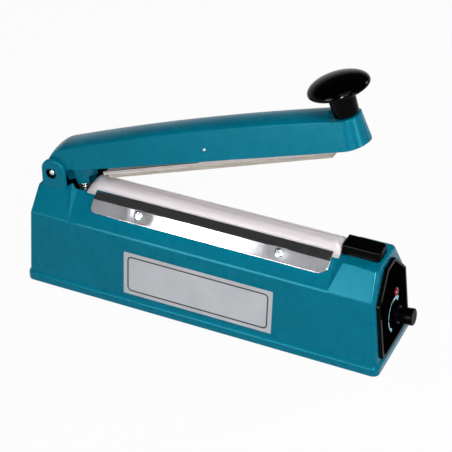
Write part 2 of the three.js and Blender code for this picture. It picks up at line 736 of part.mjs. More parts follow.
// Sealing bar, element and cloth share one outline that grows outwards
function sealHull(grow, drop) {
  const top = sealCrestZ + grow;
  const shoulderZ = top - SEAL_CREST_ROUND;
  const rearSlope = SEAL_REAR_SLANT / SEAL_HEIGHT;
  const frontLow = sealCrestZ - SEAL_FRONT_DROP;
  const rearAt = (z) => sealRearX - grow + rearSlope * (z - sealFootZ);
  const points = [-1, 1].flatMap((side) => [
    [rearAt(sealFootZ), side * (SEAL_FOOT_HALF + grow), sealFootZ - drop],
    [sealFrontX, side * (SEAL_FOOT_HALF + grow), sealFootZ - drop],
    [rearAt(sealFootZ), side * (SEAL_FOOT_HALF + grow), sealFootZ],
    [sealFrontX, side * (SEAL_FOOT_HALF + grow), sealFootZ],
    [rearAt(shoulderZ), side * (SEAL_CREST_HALF + SEAL_CREST_ROUND + grow / 2), shoulderZ],
    [sealFrontX, side * (SEAL_CREST_HALF + SEAL_CREST_ROUND + grow / 2), frontLow + grow],
    [sealFrontX - SEAL_FRONT_SLANT, side * (SEAL_CREST_HALF + SEAL_CREST_ROUND + grow / 2), shoulderZ],
    [rearAt(top), side * SEAL_CREST_HALF, top],
    [sealFrontX - SEAL_FRONT_SLANT, side * SEAL_CREST_HALF, top],
  ]);
  return solid(hull(points));
}

function sealingBar() {
  return sealHull(0, 0);
}

const elementTop = SEAT + ELEMENT_THICK;

function heatingElement() {
  const tail = SEAL_REAR - WELL_END + SEAT + TERMINAL_SHEET;
  const inner = [
    [sealRearX - tail, sealFootZ],
    [sealRearX, sealFootZ],
    [sealRearX + SEAL_REAR_SLANT, sealCrestZ],
    [sealFrontX - SEAL_FRONT_SLANT, sealCrestZ],
    [sealFrontX, sealCrestZ - SEAL_FRONT_DROP],
    [coverRearX + COVER_WALL + TERMINAL_LENGTH / 2, sealCrestZ - SEAL_FRONT_DROP],
  ].reverse();
  const outline = [...offsetLine(inner, SEAT), ...offsetLine(inner, elementTop).reverse()];
  return prismY(polygon(outline), -ELEMENT_HALF, ELEMENT_HALF);
}

function pressCloth() {
  const gap = elementTop + SEAT;
  const outer = sealHull(gap + CLOTH_THICK, 0);
  const inner = sealHull(gap, CUT);
  const flapLine = [slopeLine[1], slopeLine[2]];
  const low = offsetLine(flapLine, SEAT);
  const high = offsetLine(flapLine, SEAT + CLOTH_THICK);
  const along = (line, y) => {
    const [[y0, z0], [y1, z1]] = line;
    return [y, z0 + (z1 - z0) * (y - y0) / (y1 - y0)];
  };
  const inY = RIDGE_HALF;
  const rootY = SEAL_FOOT_HALF + gap;
  const x0 = plateRearX - SEAT;
  const x1 = blockTopX - BLOCK_RAMP - SEAT;
  const flaps = [-1, 1].map((side) => {
    const outline = [
      along(low, CLOTH_FLAP), along(high, CLOTH_FLAP), along(high, inY),
      [rootY, along(high, inY)[1]], [rootY, ridgeHeight + SEAT], [inY, ridgeHeight + SEAT],
    ];
    return solid(prismX(polygon(outline.map(([y, z]) => [side * y, z])), x0, x1));
  });
  const tailHalf = ELEMENT_HALF + SEAT;
  const tailSlot = box(sealRearX - CUT, -tailHalf, sealFootZ - CUT, sealRearX, tailHalf,
    sealFootZ + gap);
  return cut(join(outer, ...flaps), inner, solid(tailSlot));
}

function frontTerminal() {
  const x0 = coverRearX + COVER_WALL + RUNNING;
  const z1 = sealCrestZ - SEAL_FRONT_DROP;
  return box(x0, -TERMINAL_HALF, blockHeight + SEAT, x0 + TERMINAL_LENGTH, TERMINAL_HALF, z1);
}

function rearTerminal() {
  const x1 = wellEndX - SEAT;
  const z1 = sealFootZ;
  return box(x1 - TERMINAL_SHEET, -TERMINAL_HALF, z1 - TERMINAL_DROP, x1, TERMINAL_HALF, z1);
}

function terminalCover() {
  const z0 = blockHeight + SEAT;
  const x1 = coverRearX + COVER_LENGTH;
  const outline = (half, inset) => roundedShape(
    rectangle(coverRearX + inset, -half, x1 - inset, half),
    [0, COVER_CORNER, COVER_CORNER, 0],
  ).getPoints(5);
  const levels = [
    [0, COVER_HALF, 0],
    [COVER_HEIGHT - COVER_WALL, COVER_TOP_HALF + COVER_WALL / 2, 0],
    [COVER_HEIGHT, COVER_TOP_HALF - COVER_WALL / 2, COVER_WALL / 2],
  ];
  const outer = hull(levels.flatMap(([z, half, inset]) => (
    outline(half, inset).map((p) => [p.x, p.y, z0 + z]))));
  const inner = box(coverRearX + COVER_WALL, COVER_WALL - COVER_TOP_HALF, z0 - CUT,
    x1 - COVER_WALL * 2, COVER_TOP_HALF - COVER_WALL, z0 + COVER_HEIGHT - COVER_WALL);
  const slot = box(coverRearX - CUT, -COVER_SLOT_HALF, z0 - CUT,
    coverRearX + COVER_WALL + SEAT, COVER_SLOT_HALF, z0 + COVER_SLOT_HEIGHT);
  return cut(solid(outer), solid(inner), solid(slot));
}

// Control panel pieces, on the leaning front face
const bezelHalf = creaseHalf - BEZEL_INSET;
const bezelSide = faceRise(CREASE_HEIGHT) - BEZEL_SIDE_DROP;
const bezelTop = faceRise(blockHeight) - BEZEL_TOP_DROP;
const bezelTopHalf = BLOCK_TOP_HALF - BEZEL_TOP_INSET;

function bezelOutline(inset) {
  const half = bezelHalf - inset;
  const points = [
    [-half, BEZEL_LIFT + inset], [half, BEZEL_LIFT + inset], [half, bezelSide],
    [bezelTopHalf - inset / 2, bezelTop - inset],
    [inset / 2 - bezelTopHalf, bezelTop - inset], [-half, bezelSide],
  ];
  const soft = BEZEL_CORNER / 3;
  return roundedShape(points, [BEZEL_CORNER, BEZEL_CORNER, soft, soft, soft, soft]);
}

function faceHoles(bushRadius, lampRadius) {
  const depth = BEZEL_THICK + CUT;
  const bush = rodZ(bushRadius, -CUT, depth).translate(0, TIMER_RISE, 0);
  const lamp = rodZ(lampRadius, -CUT, depth).translate(LAMP_ACROSS, LAMP_RISE, 0);
  return [solid(bush), solid(lamp)];
}

function frontBezel() {
  const plate = prismZ(bezelOutline(0), SEAT, SEAT + BEZEL_THICK);
  const recessZ = SEAT + BEZEL_THICK - BEZEL_RECESS;
  const recess = prismZ(bezelOutline(BEZEL_RIM), recessZ, recessZ + CUT);
  const holes = faceHoles(TIMER_BUSH_RADIUS + HOLE_PLAY, LAMP_RADIUS + HOLE_PLAY);
  return cut(solid(plate), solid(recess), ...holes);
}

const scaleTopZ = SEAT + BEZEL_THICK - BEZEL_RECESS + SEAT + SCALE_SHEET;

function scalePlate() {
  const sheet = prismZ(bezelOutline(BEZEL_RIM + SEAT), scaleTopZ - SCALE_SHEET, scaleTopZ);
  return cut(solid(sheet), ...faceHoles(TIMER_BUSH_RADIUS + HOLE_PLAY, LAMP_RADIUS + HOLE_PLAY));
}

function pilotLamp() {
  const flangeZ = scaleTopZ + SEAT;
  return turned([
    [0, -LAMP_DEPTH], [LAMP_RADIUS, -LAMP_DEPTH], [LAMP_RADIUS, flangeZ], [LAMP_FLANGE, flangeZ],
    [LAMP_FLANGE, flangeZ + LAMP_DOME / 4], [LAMP_RADIUS, flangeZ + LAMP_DOME * 0.75],
    [LAMP_RADIUS / 2, flangeZ + LAMP_DOME], [0, flangeZ + LAMP_DOME],
  ], 24).translate(LAMP_ACROSS, LAMP_RISE, 0);
}

const timerBackZ = -WALL - SEAT;
const nutTopZ = scaleTopZ + SEAT + TIMER_NUT_HEIGHT;

function timerBody() {
  const profile = [
    [0, timerBackZ - TIMER_BODY_DEPTH], [TIMER_BODY_RADIUS, timerBackZ - TIMER_BODY_DEPTH],
    [TIMER_BODY_RADIUS, timerBackZ], [TIMER_BUSH_RADIUS, timerBackZ],
    [TIMER_BUSH_RADIUS, nutTopZ], [0, nutTopZ],
  ];
  const bore = rodZ(TIMER_SHAFT_RADIUS + HOLE_PLAY, timerBackZ - SEAT, nutTopZ + CUT);
  return cut(solid(turned(profile, 24)), solid(bore));
}

function timerNut() {
  const nut = rodZ(TIMER_NUT_RADIUS, scaleTopZ + SEAT, nutTopZ, 6);
  return cut(solid(nut), solid(rodZ(TIMER_BUSH_RADIUS + HOLE_PLAY, 0, nutTopZ + CUT)));
}

const knobFootZ = scaleTopZ + RUNNING;
const knobTopZ = knobFootZ + TIMER_KNOB_LENGTH;

function timerShaft() {
  return rodZ(TIMER_SHAFT_RADIUS, timerBackZ, knobTopZ - TIMER_KNOB_WALL - SEAT);
}

function timerKnob() {
  const outer = turned([
    [0, knobFootZ], [TIMER_KNOB_RADIUS, knobFootZ],
    [TIMER_KNOB_RADIUS * 0.96, knobTopZ - TIMER_KNOB_BEVEL],
    [TIMER_KNOB_RADIUS * 0.96 - TIMER_KNOB_BEVEL, knobTopZ], [0, knobTopZ],
  ]);
  const pocketTop = knobFootZ + TIMER_KNOB_POCKET;
  const pocket = rodZ(TIMER_NUT_RADIUS + RUNNING, knobFootZ - CUT, pocketTop);
  const bore = rodZ(TIMER_SHAFT_RADIUS + HOLE_PLAY, knobFootZ - CUT, knobTopZ - TIMER_KNOB_WALL);
  return cut(solid(outer), solid(pocket), solid(bore));
}

const boardZ = timerBackZ - TIMER_BODY_DEPTH - SEAT;
const boardHalf = creaseHalf - WALL - BOARD_SIDE_GAP;
const boardTop = faceRise(CREASE_HEIGHT) - BOARD_TOP_GAP;

function timerBoard() {
  return box(-boardHalf, BOARD_FOOT, boardZ - BOARD_SHEET, boardHalf, boardTop, boardZ);
}

function boardRelay() {
  const z1 = boardZ - BOARD_SHEET - SEAT;
  const x0 = WALL + SEAT - boardHalf;
  return box(x0, BOARD_FOOT + WALL, z1 - RELAY_DEPTH, x0 + RELAY_LENGTH, BOARD_FOOT + WALL + RELAY_WIDTH, z1);
}

function boardCapacitor() {
  const z1 = boardZ - BOARD_SHEET - SEAT;
  const x = boardHalf - CAPACITOR_RADIUS - WALL;
  const y = boardTop - CAPACITOR_RADIUS - WALL;
  return rodZ(CAPACITOR_RADIUS, z1 - CAPACITOR_LENGTH, z1, 20).translate(x, y, 0);
}

// Transformer pieces, standing on the bottom plate
const coreZ = plateTopZ + SEAT;
const coreStack = 2 * (creaseHalf - WALL - COIL_SIDE_GAP - COIL_BUILD);

function transformerCore() {
  const half = CORE_LENGTH / 2;
  const outer = box(-half, -coreStack / 2, coreZ, half, coreStack / 2, coreZ + CORE_HEIGHT);
  const windowZ = coreZ + (CORE_HEIGHT - CORE_WINDOW_HEIGHT) / 2;
  const windows = [-1, 1].map((side) => {
    const x = side * (CORE_LIMB + CORE_WINDOW) / 2;
    return solid(box(x - CORE_WINDOW / 2, -coreStack, windowZ,
      x + CORE_WINDOW / 2, coreStack, windowZ + CORE_WINDOW_HEIGHT));
  });
  return cut(solid(outer), ...windows);
}

function transformerCoil() {
  const halfX = CORE_LIMB / 2 + CORE_WINDOW - SEAT;
  const halfY = coreStack / 2 + COIL_BUILD;
  const z0 = coreZ + (CORE_HEIGHT - CORE_WINDOW_HEIGHT) / 2 + SEAT;
  const z1 = z0 + CORE_WINDOW_HEIGHT - 2 * SEAT;
  const outline = roundedShape(rectangle(-halfX, -halfY, halfX, halfY), COIL_BUILD / 3);
  const limbX = CORE_LIMB / 2 + SEAT;
  const limbY = coreStack / 2 + SEAT;
  const hole = box(-limbX, -limbY, z0 - CUT, limbX, limbY, z1 + CUT);
  return cut(solid(prismZ(outline, z0, z1)), solid(hole));
}

function transformerStrap() {
  const inner = CORE_LENGTH / 2 + SEAT;
  const outer = inner + STRAP_SHEET;
  const topZ = coreZ + CORE_HEIGHT + SEAT;
  const footTop = coreZ + STRAP_SHEET;
  const outline = polygon([
    [-outer - STRAP_FOOT, coreZ], [-inner, coreZ], [-inner, topZ], [inner, topZ], [inner, coreZ],
    [outer + STRAP_FOOT, coreZ], [outer + STRAP_FOOT, footTop], [outer, footTop],
    [outer, topZ + STRAP_SHEET], [-outer, topZ + STRAP_SHEET], [-outer, footTop],
    [-outer - STRAP_FOOT, footTop],
  ]);
  const holes = strapScrewX.map((x) => (
    solid(rodZ(STRAP_SCREW_RADIUS + HOLE_PLAY, 0, footTop + CUT, 16).translate(x, 0, 0))));
  return cut(solid(prismY(outline, -STRAP_HALF, STRAP_HALF)), ...holes);
}

const strapScrewReach = CORE_LENGTH / 2 + STRAP_SHEET + STRAP_FOOT / 2 + SEAT;
const strapScrewX = [-strapScrewReach, strapScrewReach];

// Bottom plate, feet and screws
function bottomPlate() {
  const inset = WALL + SEAT;
  const half = sideY(plateTopZ) - inset;
  const corners = rectangle(rearX(plateTopZ) + inset, -half, frontX(plateTopZ) - inset, half);
  const outline = roundedShape(corners, BODY_CORNER);
  let plate = solid(prismZ(outline, plateBaseZ, plateTopZ));
  const drill = (radius, x, y) => {
    plate = plate.subtract(solid(rodZ(radius, -CUT, plateTopZ + CUT, 16).translate(x, y, 0)));
  };
  for (const side of [-1, 1]) {
    for (const x of bossX) {
      drill(BASE_SCREW_RADIUS + HOLE_PLAY, x, side * bossY);
    }
    for (const end of [-1, 1]) {
      drill(FOOT_STUD + HOLE_PLAY, end * footX, side * footY);
    }
  }
  for (const x of strapScrewX) {
    drill(STRAP_SCREW_RADIUS + HOLE_PLAY, CORE_SHIFT + x, 0);
  }
  return plate;
}

function rubberFoot() {
  const neckTop = plateTopZ + SEAT;
  const lip = FOOT_STUD + FOOT_TAPER;
  return turned([
    [0, -FOOT_DROP], [FOOT_RADIUS - FOOT_TAPER, -FOOT_DROP], [FOOT_RADIUS, plateBaseZ - SEAT],
    [FOOT_STUD, plateBaseZ - SEAT], [FOOT_STUD, neckTop], [lip, neckTop],
    [FOOT_STUD, neckTop + 2 * FOOT_TAPER], [0, neckTop + 2 * FOOT_TAPER],
  ], 24);
}

// Cord inlet through the rear wall, and the label on the near wall
function cordGland() {
  const wallX = rearX(GLAND_HEIGHT);
  const nose = GLAND_RADIUS * 0.8;
  const profile = [
    [0, -WALL - GLAND_FLANGE_THICK], [GLAND_RADIUS, -WALL - GLAND_FLANGE_THICK], [GLAND_RADIUS, SEAT],
    [GLAND_FLANGE, SEAT], [GLAND_FLANGE, SEAT + GLAND_FLANGE_THICK], [GLAND_RADIUS, GLAND_NOSE / 2],
    [nose, GLAND_NOSE], [0, GLAND_NOSE],
  ];
  const bore = rodZ(GLAND_BORE, -GLAND_NOSE * 2, GLAND_NOSE * 2, 48);
  const gland = cut(solid(turned(profile, 24)), solid(bore));
  return surface(gland).rotateY(-Math.PI / 2).translate(wallX, 0, GLAND_HEIGHT);
}

function ratingLabel() {
  const half = LABEL_LENGTH / 2;
  const rise = LABEL_WIDTH / 2;
  const outline = roundedShape(rectangle(-half, -rise, half, rise), LABEL_CORNER);
  const label = prismZ(outline, SEAT, SEAT + LABEL_SHEET).rotateX(Math.PI / 2 - Math.atan(sideDraft));
  return label.translate(0, -sideY(LABEL_HEIGHT), LABEL_HEIGHT);
}

// Switch and spring in the well
const leverX = rearEnd + SWITCH_SETBACK + LEVER_HUB;
const leverZ = wellFloor + SEAT + SWITCH_HEIGHT + SEAT + LEVER_HUB;

function microSwitch() {
  const x0 = rearEnd + SWITCH_SETBACK;
  const z0 = wellFloor + SEAT;
  const y0 = SWITCH_ACROSS - SWITCH_WIDTH / 2;
  return box(x0, y0, z0, x0 + SWITCH_LENGTH, y0 + SWITCH_WIDTH, z0 + SWITCH_HEIGHT);
}

function switchLever() {
  const blade = box(0, -LEVER_HALF, 0, LEVER_LENGTH, LEVER_HALF, LEVER_SHEET);
  return join(solid(rodY(LEVER_HUB, -LEVER_HALF, LEVER_HALF, 12)), solid(blade));
}

// Open compression spring, one unbroken tube that ends just under the lug of the open arm
const springX = rearEnd + SPRING_SETBACK;
const lugReach = springX - SPRING_RADIUS - SPRING_WIRE - hingeX;
const lugZ = hingeHeight + lugReach * Math.tan(OPEN_ANGLE) - LUG_DROP / Math.cos(OPEN_ANGLE);
const springLength = lugZ - SPRING_PLAY - wellFloor - SEAT;

class SpringPath extends THREE.Curve {
  getPoint(t, target = new THREE.Vector3()) {
    const angle = t * SPRING_TURNS * 2 * Math.PI;
    const rise = springLength - 2 * SPRING_WIRE;
    return target.set(SPRING_RADIUS * Math.cos(angle), SPRING_RADIUS * Math.sin(angle),
      SPRING_WIRE + rise * t);
  }
}

// Least gap between points of the spring that lie half a turn or more apart
function springGap(path) {
  const points = path.getPoints(SPRING_TURNS * SPRING_STEPS);
  let least = Infinity;
  points.forEach((point, i) => {
    points.slice(i + SPRING_STEPS / 2).forEach((other) => {
      least = Math.min(least, point.distanceTo(other));
    });
  });
  return least - 2 * SPRING_WIRE;
}

function returnSpring() {
  const path = new SpringPath();
  const corners = Array.from({ length: SPRING_SIDES }, (_, i) => {
    const angle = i / SPRING_SIDES * 2 * Math.PI;
    return [SPRING_WIRE * Math.cos(angle), SPRING_WIRE * Math.sin(angle)];
  });
  console.log(`return_spring: least gap to itself ${springGap(path).toFixed(2)} mm`);
  return new THREE.ExtrudeGeometry(polygon(corners), {
    steps: SPRING_TURNS * SPRING_STEPS, extrudePath: path, bevelEnabled: false,
  });
}

// Arm shapes, in the arm's own frame with the pin at its origin
const armCrownX = armReach - ARM_CROWN_SETBACK;
const armSideTop = ARM_CROWN - ARM_TOP_RISE;
const armTaper = (ARM_HALF - ARM_TOP_HALF) / (armSideTop - ARM_EDGE);
const noseSlope = ARM_NOSE_LEAN / (armSideTop - ARM_EDGE);
const knobReach = armReach - KNOB_SETBACK;
const barRear = BULKHEAD_REACH + BAR_REAR_GAP;
const barLength = armReach - BAR_FRONT_GAP - barRear;
const barPinX = barRear + barLength / 2;

// The top falls slowly from its crown, and as an oval at the rear end
const ovalX = ARM_REAR_ROUND - BOSS_RADIUS;
const ovalFall = (ovalX - armCrownX) ** 2 / ARM_FALL;

function armFall(x) {
  if (x >= ovalX) {
    return (x - armCrownX) ** 2 / ARM_FALL;
  }
  const share = Math.min((ovalX - x) / ARM_REAR_ROUND, 1);
  const rise = ARM_CROWN - ovalFall + ARM_REAR_ROUND_DROP;
  return ovalFall + rise * (1 - Math.sqrt(1 - share * share));
}

function armTop(x) {
  return ARM_CROWN - armFall(x);
}

const knobSeat = armTop(knobReach) - KNOB_SINK;

// Everything under the crowned top, wider than the arm. The top widens with the sides as it falls.
function underTop(x0, x1, inset) {
  const wide = ARM_HALF + CUT;
  const foot = armSideTop - inset;
  const outline = [[wide, -CHEEK_DROP - CUT], [wide, foot]];
  const steps = 16;
  for (let i = 0; i <= steps; i += 1) {
    const angle = i / steps * Math.PI;
    outline.push([(ARM_TOP_HALF - inset) * Math.cos(angle), foot + ARM_TOP_RISE * Math.sin(angle)]);
  }
  outline.push([-wide, foot], [-wide, -CHEEK_DROP - CUT]);
  const places = [];
  const roundSteps = x0 < ovalX ? 12 : 0;
  for (let i = 0; i < roundSteps; i += 1) {
    places.push(ovalX - (ovalX - x0) * Math.cos(i / roundSteps * Math.PI / 2));
  }
  const start = Math.max(x0, ovalX);
  const longSteps = 16;
  for (let i = 0; i <= longSteps; i += 1) {
    places.push(start + (x1 - start) * i / longSteps);
  }
  const last = places.length - 1;
  const geometry = prismX(polygon(outline), x0, x1, last);
  const position = geometry.getAttribute('position');
  for (let i = 0; i < position.count; i += 1) {
    const place = places[Math.round((position.getX(i) - x0) / (x1 - x0) * last)];
    position.setX(i, place);
    if (position.getZ(i) > 0) {
      const fall = armFall(place);
      position.setZ(i, position.getZ(i) - fall);
      position.setY(i, position.getY(i) * (1 + armTaper * fall / ARM_TOP_HALF));
    }
  }
  return solid(geometry);
}

// Sides and nose, leaning inwards from the lower edge
function armPlan(inset, x0) {
  const points = [-CHEEK_DROP - CUT, ARM_CROWN + CUT].flatMap((z) => {
    const half = ARM_HALF - armTaper * (z - ARM_EDGE) - inset;
    const noseX = armReach - noseSlope * (z - ARM_EDGE) - inset - half;
    const shape = new THREE.Shape();
    shape.moveTo(x0 + ARM_REAR_CORNER, -half);
    shape.lineTo(noseX, -half);
    shape.absarc(noseX, 0, half, -Math.PI / 2, Math.PI / 2, false);
    shape.lineTo(x0 + ARM_REAR_CORNER, half);
    shape.quadraticCurveTo(x0, half, x0, half - ARM_REAR_CORNER);
    shape.lineTo(x0, ARM_REAR_CORNER - half);
    shape.quadraticCurveTo(x0, -half, x0 + ARM_REAR_CORNER, -half);
    return shape.getPoints(8).map((p) => [p.x, p.y, z]);
  });
  return solid(hull(points));
}

function armShell() {
  const neckHalf = earInner - NECK_HALF_PLAY;
  const above = box(-BOSS_RADIUS - CUT, -ARM_HALF - CUT, ARM_EDGE, armReach + CUT, ARM_HALF + CUT,
    ARM_CROWN + CUT);
  let arm = underTop(-BOSS_RADIUS, armReach + CUT, 0).intersect(solid(above));
  arm = arm.intersect(armPlan(0, -BOSS_RADIUS));
  const neckCuts = [-1, 1].map((s) => {
    const y0 = s > 0 ? neckHalf : -ARM_HALF - CUT;
    const ring = rodY(NECK_RADIUS, y0, y0 + ARM_HALF + CUT - neckHalf, 48);
    return solid(ring.translate(0, 0, NECK_RISE));
  });
  const roomEnd = armPlan(ARM_WALL, BULKHEAD_REACH - ARM_REAR_CORNER);
  const room = underTop(BULKHEAD_REACH, armReach + CUT, ARM_WALL).intersect(roomEnd);
  arm = cut(arm, ...neckCuts, room);

  const inArm = ARM_EDGE + ARM_WALL;
  arm = join(
    arm, solid(rodY(BOSS_RADIUS, -neckHalf, neckHalf)),
    solid(box(LUG_START, -LUG_NEAR, -LUG_DROP, LUG_END, CHEEK_HALF, inArm)),
    solid(box(CHEEK_START, -CHEEK_HALF, -CHEEK_DROP, CHEEK_END, -CHEEK_INNER, inArm)),
    solid(box(CHEEK_START, CHEEK_INNER, -CHEEK_DROP, CHEEK_END, CHEEK_HALF, inArm)),
    solid(box(CHEEK_START, -CHEEK_HALF, -LUG_DROP, LUG_END, SEAT - LUG_NEAR, inArm)),
    solid(rodZ(KNOB_BOSS_RADIUS, knobSeat - KNOB_BOSS_DEPTH, knobSeat).translate(knobReach, 0, 0)),
    solid(rodZ(KNOB_SEAT_RADIUS, knobSeat - ARM_WALL, knobSeat, 40).translate(knobReach, 0, 0)),
  ).intersect(armPlan(0, -BOSS_RADIUS));
  const reach = ARM_HALF + CUT;
  const barPinHole = rodY(BAR_PIN_RADIUS + HOLE_PLAY, -reach, reach, 16);
  return cut(
    arm, solid(rodZ(KNOB_SEAT_RADIUS, knobSeat, ARM_CROWN + CUT, 40).translate(knobReach, 0, 0)),
    solid(rodZ(KNOB_BOLT_RADIUS + HOLE_PLAY, 0, ARM_CROWN, 16).translate(knobReach, 0, 0)),
    solid(rodY(PIN_RADIUS + HOLE_PLAY, -reach, reach, 24)),
    solid(barPinHole.translate(barPinX, 0, BAR_PIN_HEIGHT)),
  );
}

function handleKnob() {
  const centreZ = SEAT + KNOB_STEM_LENGTH + KNOB_UNDER * 0.9;
  const profile = [[0, SEAT], [KNOB_STEM_RADIUS, SEAT], [KNOB_STEM_TOP_RADIUS, SEAT + KNOB_STEM_LENGTH]];
  const steps = 9;
  const start = -Math.acos(KNOB_STEM_TOP_RADIUS / KNOB_RADIUS) * 0.9;
  for (let i = 1; i <= steps; i += 1) {
    const angle = start + (Math.PI / 2 - start) * i / steps;
    const height = angle < 0 ? KNOB_UNDER : KNOB_OVER;
    profile.push([KNOB_RADIUS * Math.max(Math.cos(angle), 0), centreZ + height * Math.sin(angle)]);
  }
  const bore = rodZ(KNOB_BOLT_RADIUS + HOLE_PLAY, 0, SEAT + KNOB_BOLT_GRIP + SEAT, 16);
  return cut(solid(turned(profile, 36)), solid(bore));
}

function knobBolt() {
  const headTop = -KNOB_BOSS_DEPTH - SEAT;
  return turned([
    [0, headTop - KNOB_BOLT_HEAD_HEIGHT], [KNOB_BOLT_HEAD, headTop - KNOB_BOLT_HEAD_HEIGHT],
    [KNOB_BOLT_HEAD, headTop], [KNOB_BOLT_RADIUS, headTop], [KNOB_BOLT_RADIUS, KNOB_BOLT_GRIP],
    [0, KNOB_BOLT_GRIP],
  ], 24);
}

// Press bar pieces, in the bar's own frame with its pin at the origin
function pressBar() {
  const inner = BAR_HALF - BAR_SHEET;
  const outline = polygon([
    [-BAR_HALF, -BAR_FLOOR], [BAR_HALF, -BAR_FLOOR], [BAR_HALF, BAR_RISE], [inner, BAR_RISE],
    [inner, BAR_SHEET - BAR_FLOOR], [-inner, BAR_SHEET - BAR_FLOOR], [-inner, BAR_RISE],
    [-BAR_HALF, BAR_RISE],
  ]);
  const hole = rodY(BAR_PIN_RADIUS + HOLE_PLAY, -BAR_HALF - CUT, BAR_HALF + CUT, 16);
  return cut(solid(prismX(outline, -barLength / 2, barLength / 2)), solid(hole));
}

function siliconeStrip() {
  const half = barLength / 2 - STRIP_SHORT;
  const top = -BAR_FLOOR - SEAT;
  return box(-half, -STRIP_HALF, top - STRIP_THICK, half, STRIP_HALF, top);
}

// Base assembly
const sealer = new THREE.Group();
const base = new THREE.Group();
sealer.add(base);

addPart(base, 'base_casing', casing(), 'casing');
addPart(base, 'bottom_plate', bottomPlate(), 'plated');
[-1, 1].forEach((end, i) => {
  [-1, 1].forEach((side, j) => {
    const number = 2 * i + j + 1;
    const foot = addPart(base, `rubber_foot_${number}`, rubberFoot(), 'rubber');
    foot.position.set(end * footX, side * footY, 0);
    const screw = addPart(base, `base_screw_${number}`,
      panScrew(BASE_SCREW_RADIUS, BASE_SCREW_LENGTH, BASE_SCREW_HEAD, BASE_SCREW_HEAD_HEIGHT), 'steel');
    screw.rotation.x = Math.PI;
    screw.position.set(bossX[i], side * bossY, plateBaseZ - SEAT);
  });
});
addPart(base, 'cord_gland', cordGland(), 'rubber');
addPart(base, 'label_plate', ratingLabel(), 'label');

const pinReach = EAR_HALF - PIN_COUNTERBORE_DEPTH / 2;
const hingePin = addPart(base, 'hinge_pin', rodY(PIN_RADIUS, -pinReach, pinReach, 24), 'steel');
hingePin.position.set(hingeX, 0, hingeHeight);

addPart(base, 'sealing_bar', sealingBar(), 'bakelite');
addPart(base, 'heating_element', heatingElement(), 'steel');
addPart(base, 'press_cloth', pressCloth(), 'cloth');
[['near', -1], ['far', 1]].forEach(([name, side]) => {
  addPart(base, `clamp_plate_${name}`, clampPlate(side), 'aluminium');
  const places = plateScrewPlaces().filter((place) => Math.sign(place.elements[13]) === side);
  places.forEach((place, i) => {
    const screw = side > 0 ? sunkScrew() : panScrew(PLATE_SCREW_RADIUS, PLATE_SCREW_LENGTH,
      PLATE_SCREW_HEAD, PLATE_SCREW_HEAD_HEIGHT).translate(0, 0, SEAT);
    addPart(base, `clamp_screw_${name}_${i + 1}`, screw.applyMatrix4(place), 'steel');
  });
});
addPart(base, 'front_terminal', frontTerminal(), 'brass');
addPart(base, 'rear_terminal', rearTerminal(), 'brass');
addPart(base, 'terminal_cover', terminalCover(), 'black');

const panel = new THREE.Group();
panel.applyMatrix4(faceMatrix);
base.add(panel);
addPart(panel, 'front_bezel', frontBezel(), 'black');
addPart(panel, 'scale_plate', scalePlate(), 'print');
addPart(panel, 'pilot_lamp', pilotLamp(), 'lens');
addPart(panel, 'timer_board', timerBoard(), 'board');
addPart(panel, 'board_relay', boardRelay(), 'relay');
addPart(panel, 'board_capacitor', boardCapacitor(), 'black');
const timer = new THREE.Group();
timer.position.y = TIMER_RISE;
panel.add(timer);
addPart(timer, 'timer_body', timerBody(), 'plated');
addPart(timer, 'timer_nut', timerNut(), 'steel');
addPart(timer, 'timer_shaft', timerShaft(), 'steel');
addPart(timer, 'timer_knob', timerKnob(), 'black');

const transformer = new THREE.Group();
transformer.position.x = CORE_SHIFT;
base.add(transformer);
addPart(transformer, 'transformer_core', transformerCore(), 'core');
addPart(transformer, 'transformer_coil', transformerCoil(), 'winding');
addPart(transformer, 'transformer_strap', transformerStrap(), 'plated');
strapScrewX.forEach((x, i) => {
  const length = STRAP_SHEET + SEAT + PLATE_BASE_SHEET + SEAT;
  const screw = addPart(transformer, `strap_screw_${i + 1}`,
    panScrew(STRAP_SCREW_RADIUS, length, STRAP_SCREW_HEAD, STRAP_SCREW_HEAD_HEIGHT), 'steel');
  screw.position.set(x, 0, coreZ + STRAP_SHEET + SEAT);
});

addPart(base, 'micro_switch', microSwitch(), 'black');
const lever = addPart(base, 'switch_lever', switchLever(), 'steel');
lever.position.set(leverX, SWITCH_ACROSS, leverZ);
lever.rotation.y = -LEVER_ANGLE;
const spring = addPart(base, 'return_spring', returnSpring(), 'steel');
spring.position.set(springX, 0, wellFloor + SEAT);

// Arm assembly, turned up to its open stop about the hinge pin
const arm = new THREE.Group();
arm.position.set(hingeX, 0, hingeHeight);
arm.rotation.y = -OPEN_ANGLE;
sealer.add(arm);
addPart(arm, 'arm_shell', armShell(), 'casing');
const knob = new THREE.Group();
knob.position.set(knobReach, 0, knobSeat);
arm.add(knob);
addPart(knob, 'handle_knob', handleKnob(), 'black');
addPart(knob, 'knob_bolt', knobBolt(), 'steel');
const barPinReach = ARM_HALF - armTaper * (BAR_PIN_HEIGHT - ARM_EDGE) - SEAT;
const barPin = addPart(arm, 'press_bar_pin', rodY(BAR_PIN_RADIUS, -barPinReach, barPinReach, 16), 'steel');
barPin.position.set(barPinX, 0, BAR_PIN_HEIGHT);

const rocker = new THREE.Group();
rocker.position.copy(barPin.position);
rocker.rotation.y = -BAR_TILT;
arm.add(rocker);
addPart(rocker, 'press_bar', pressBar(), 'aluminium');
addPart(rocker, 'silicone_strip', siliconeStrip(), 'silicone');

// Origin at the middle of the footprint, on the bench
sealer.updateMatrixWorld(true);
const bounds = new THREE.Box3().setFromObject(sealer, true);
const middle = bounds.getCenter(new THREE.Vector3());
sealer.position.set(-middle.x, -middle.y, -bounds.min.z);

export default sealer;
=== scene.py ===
"""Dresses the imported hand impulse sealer: detailed pieces, finishes, light and camera."""

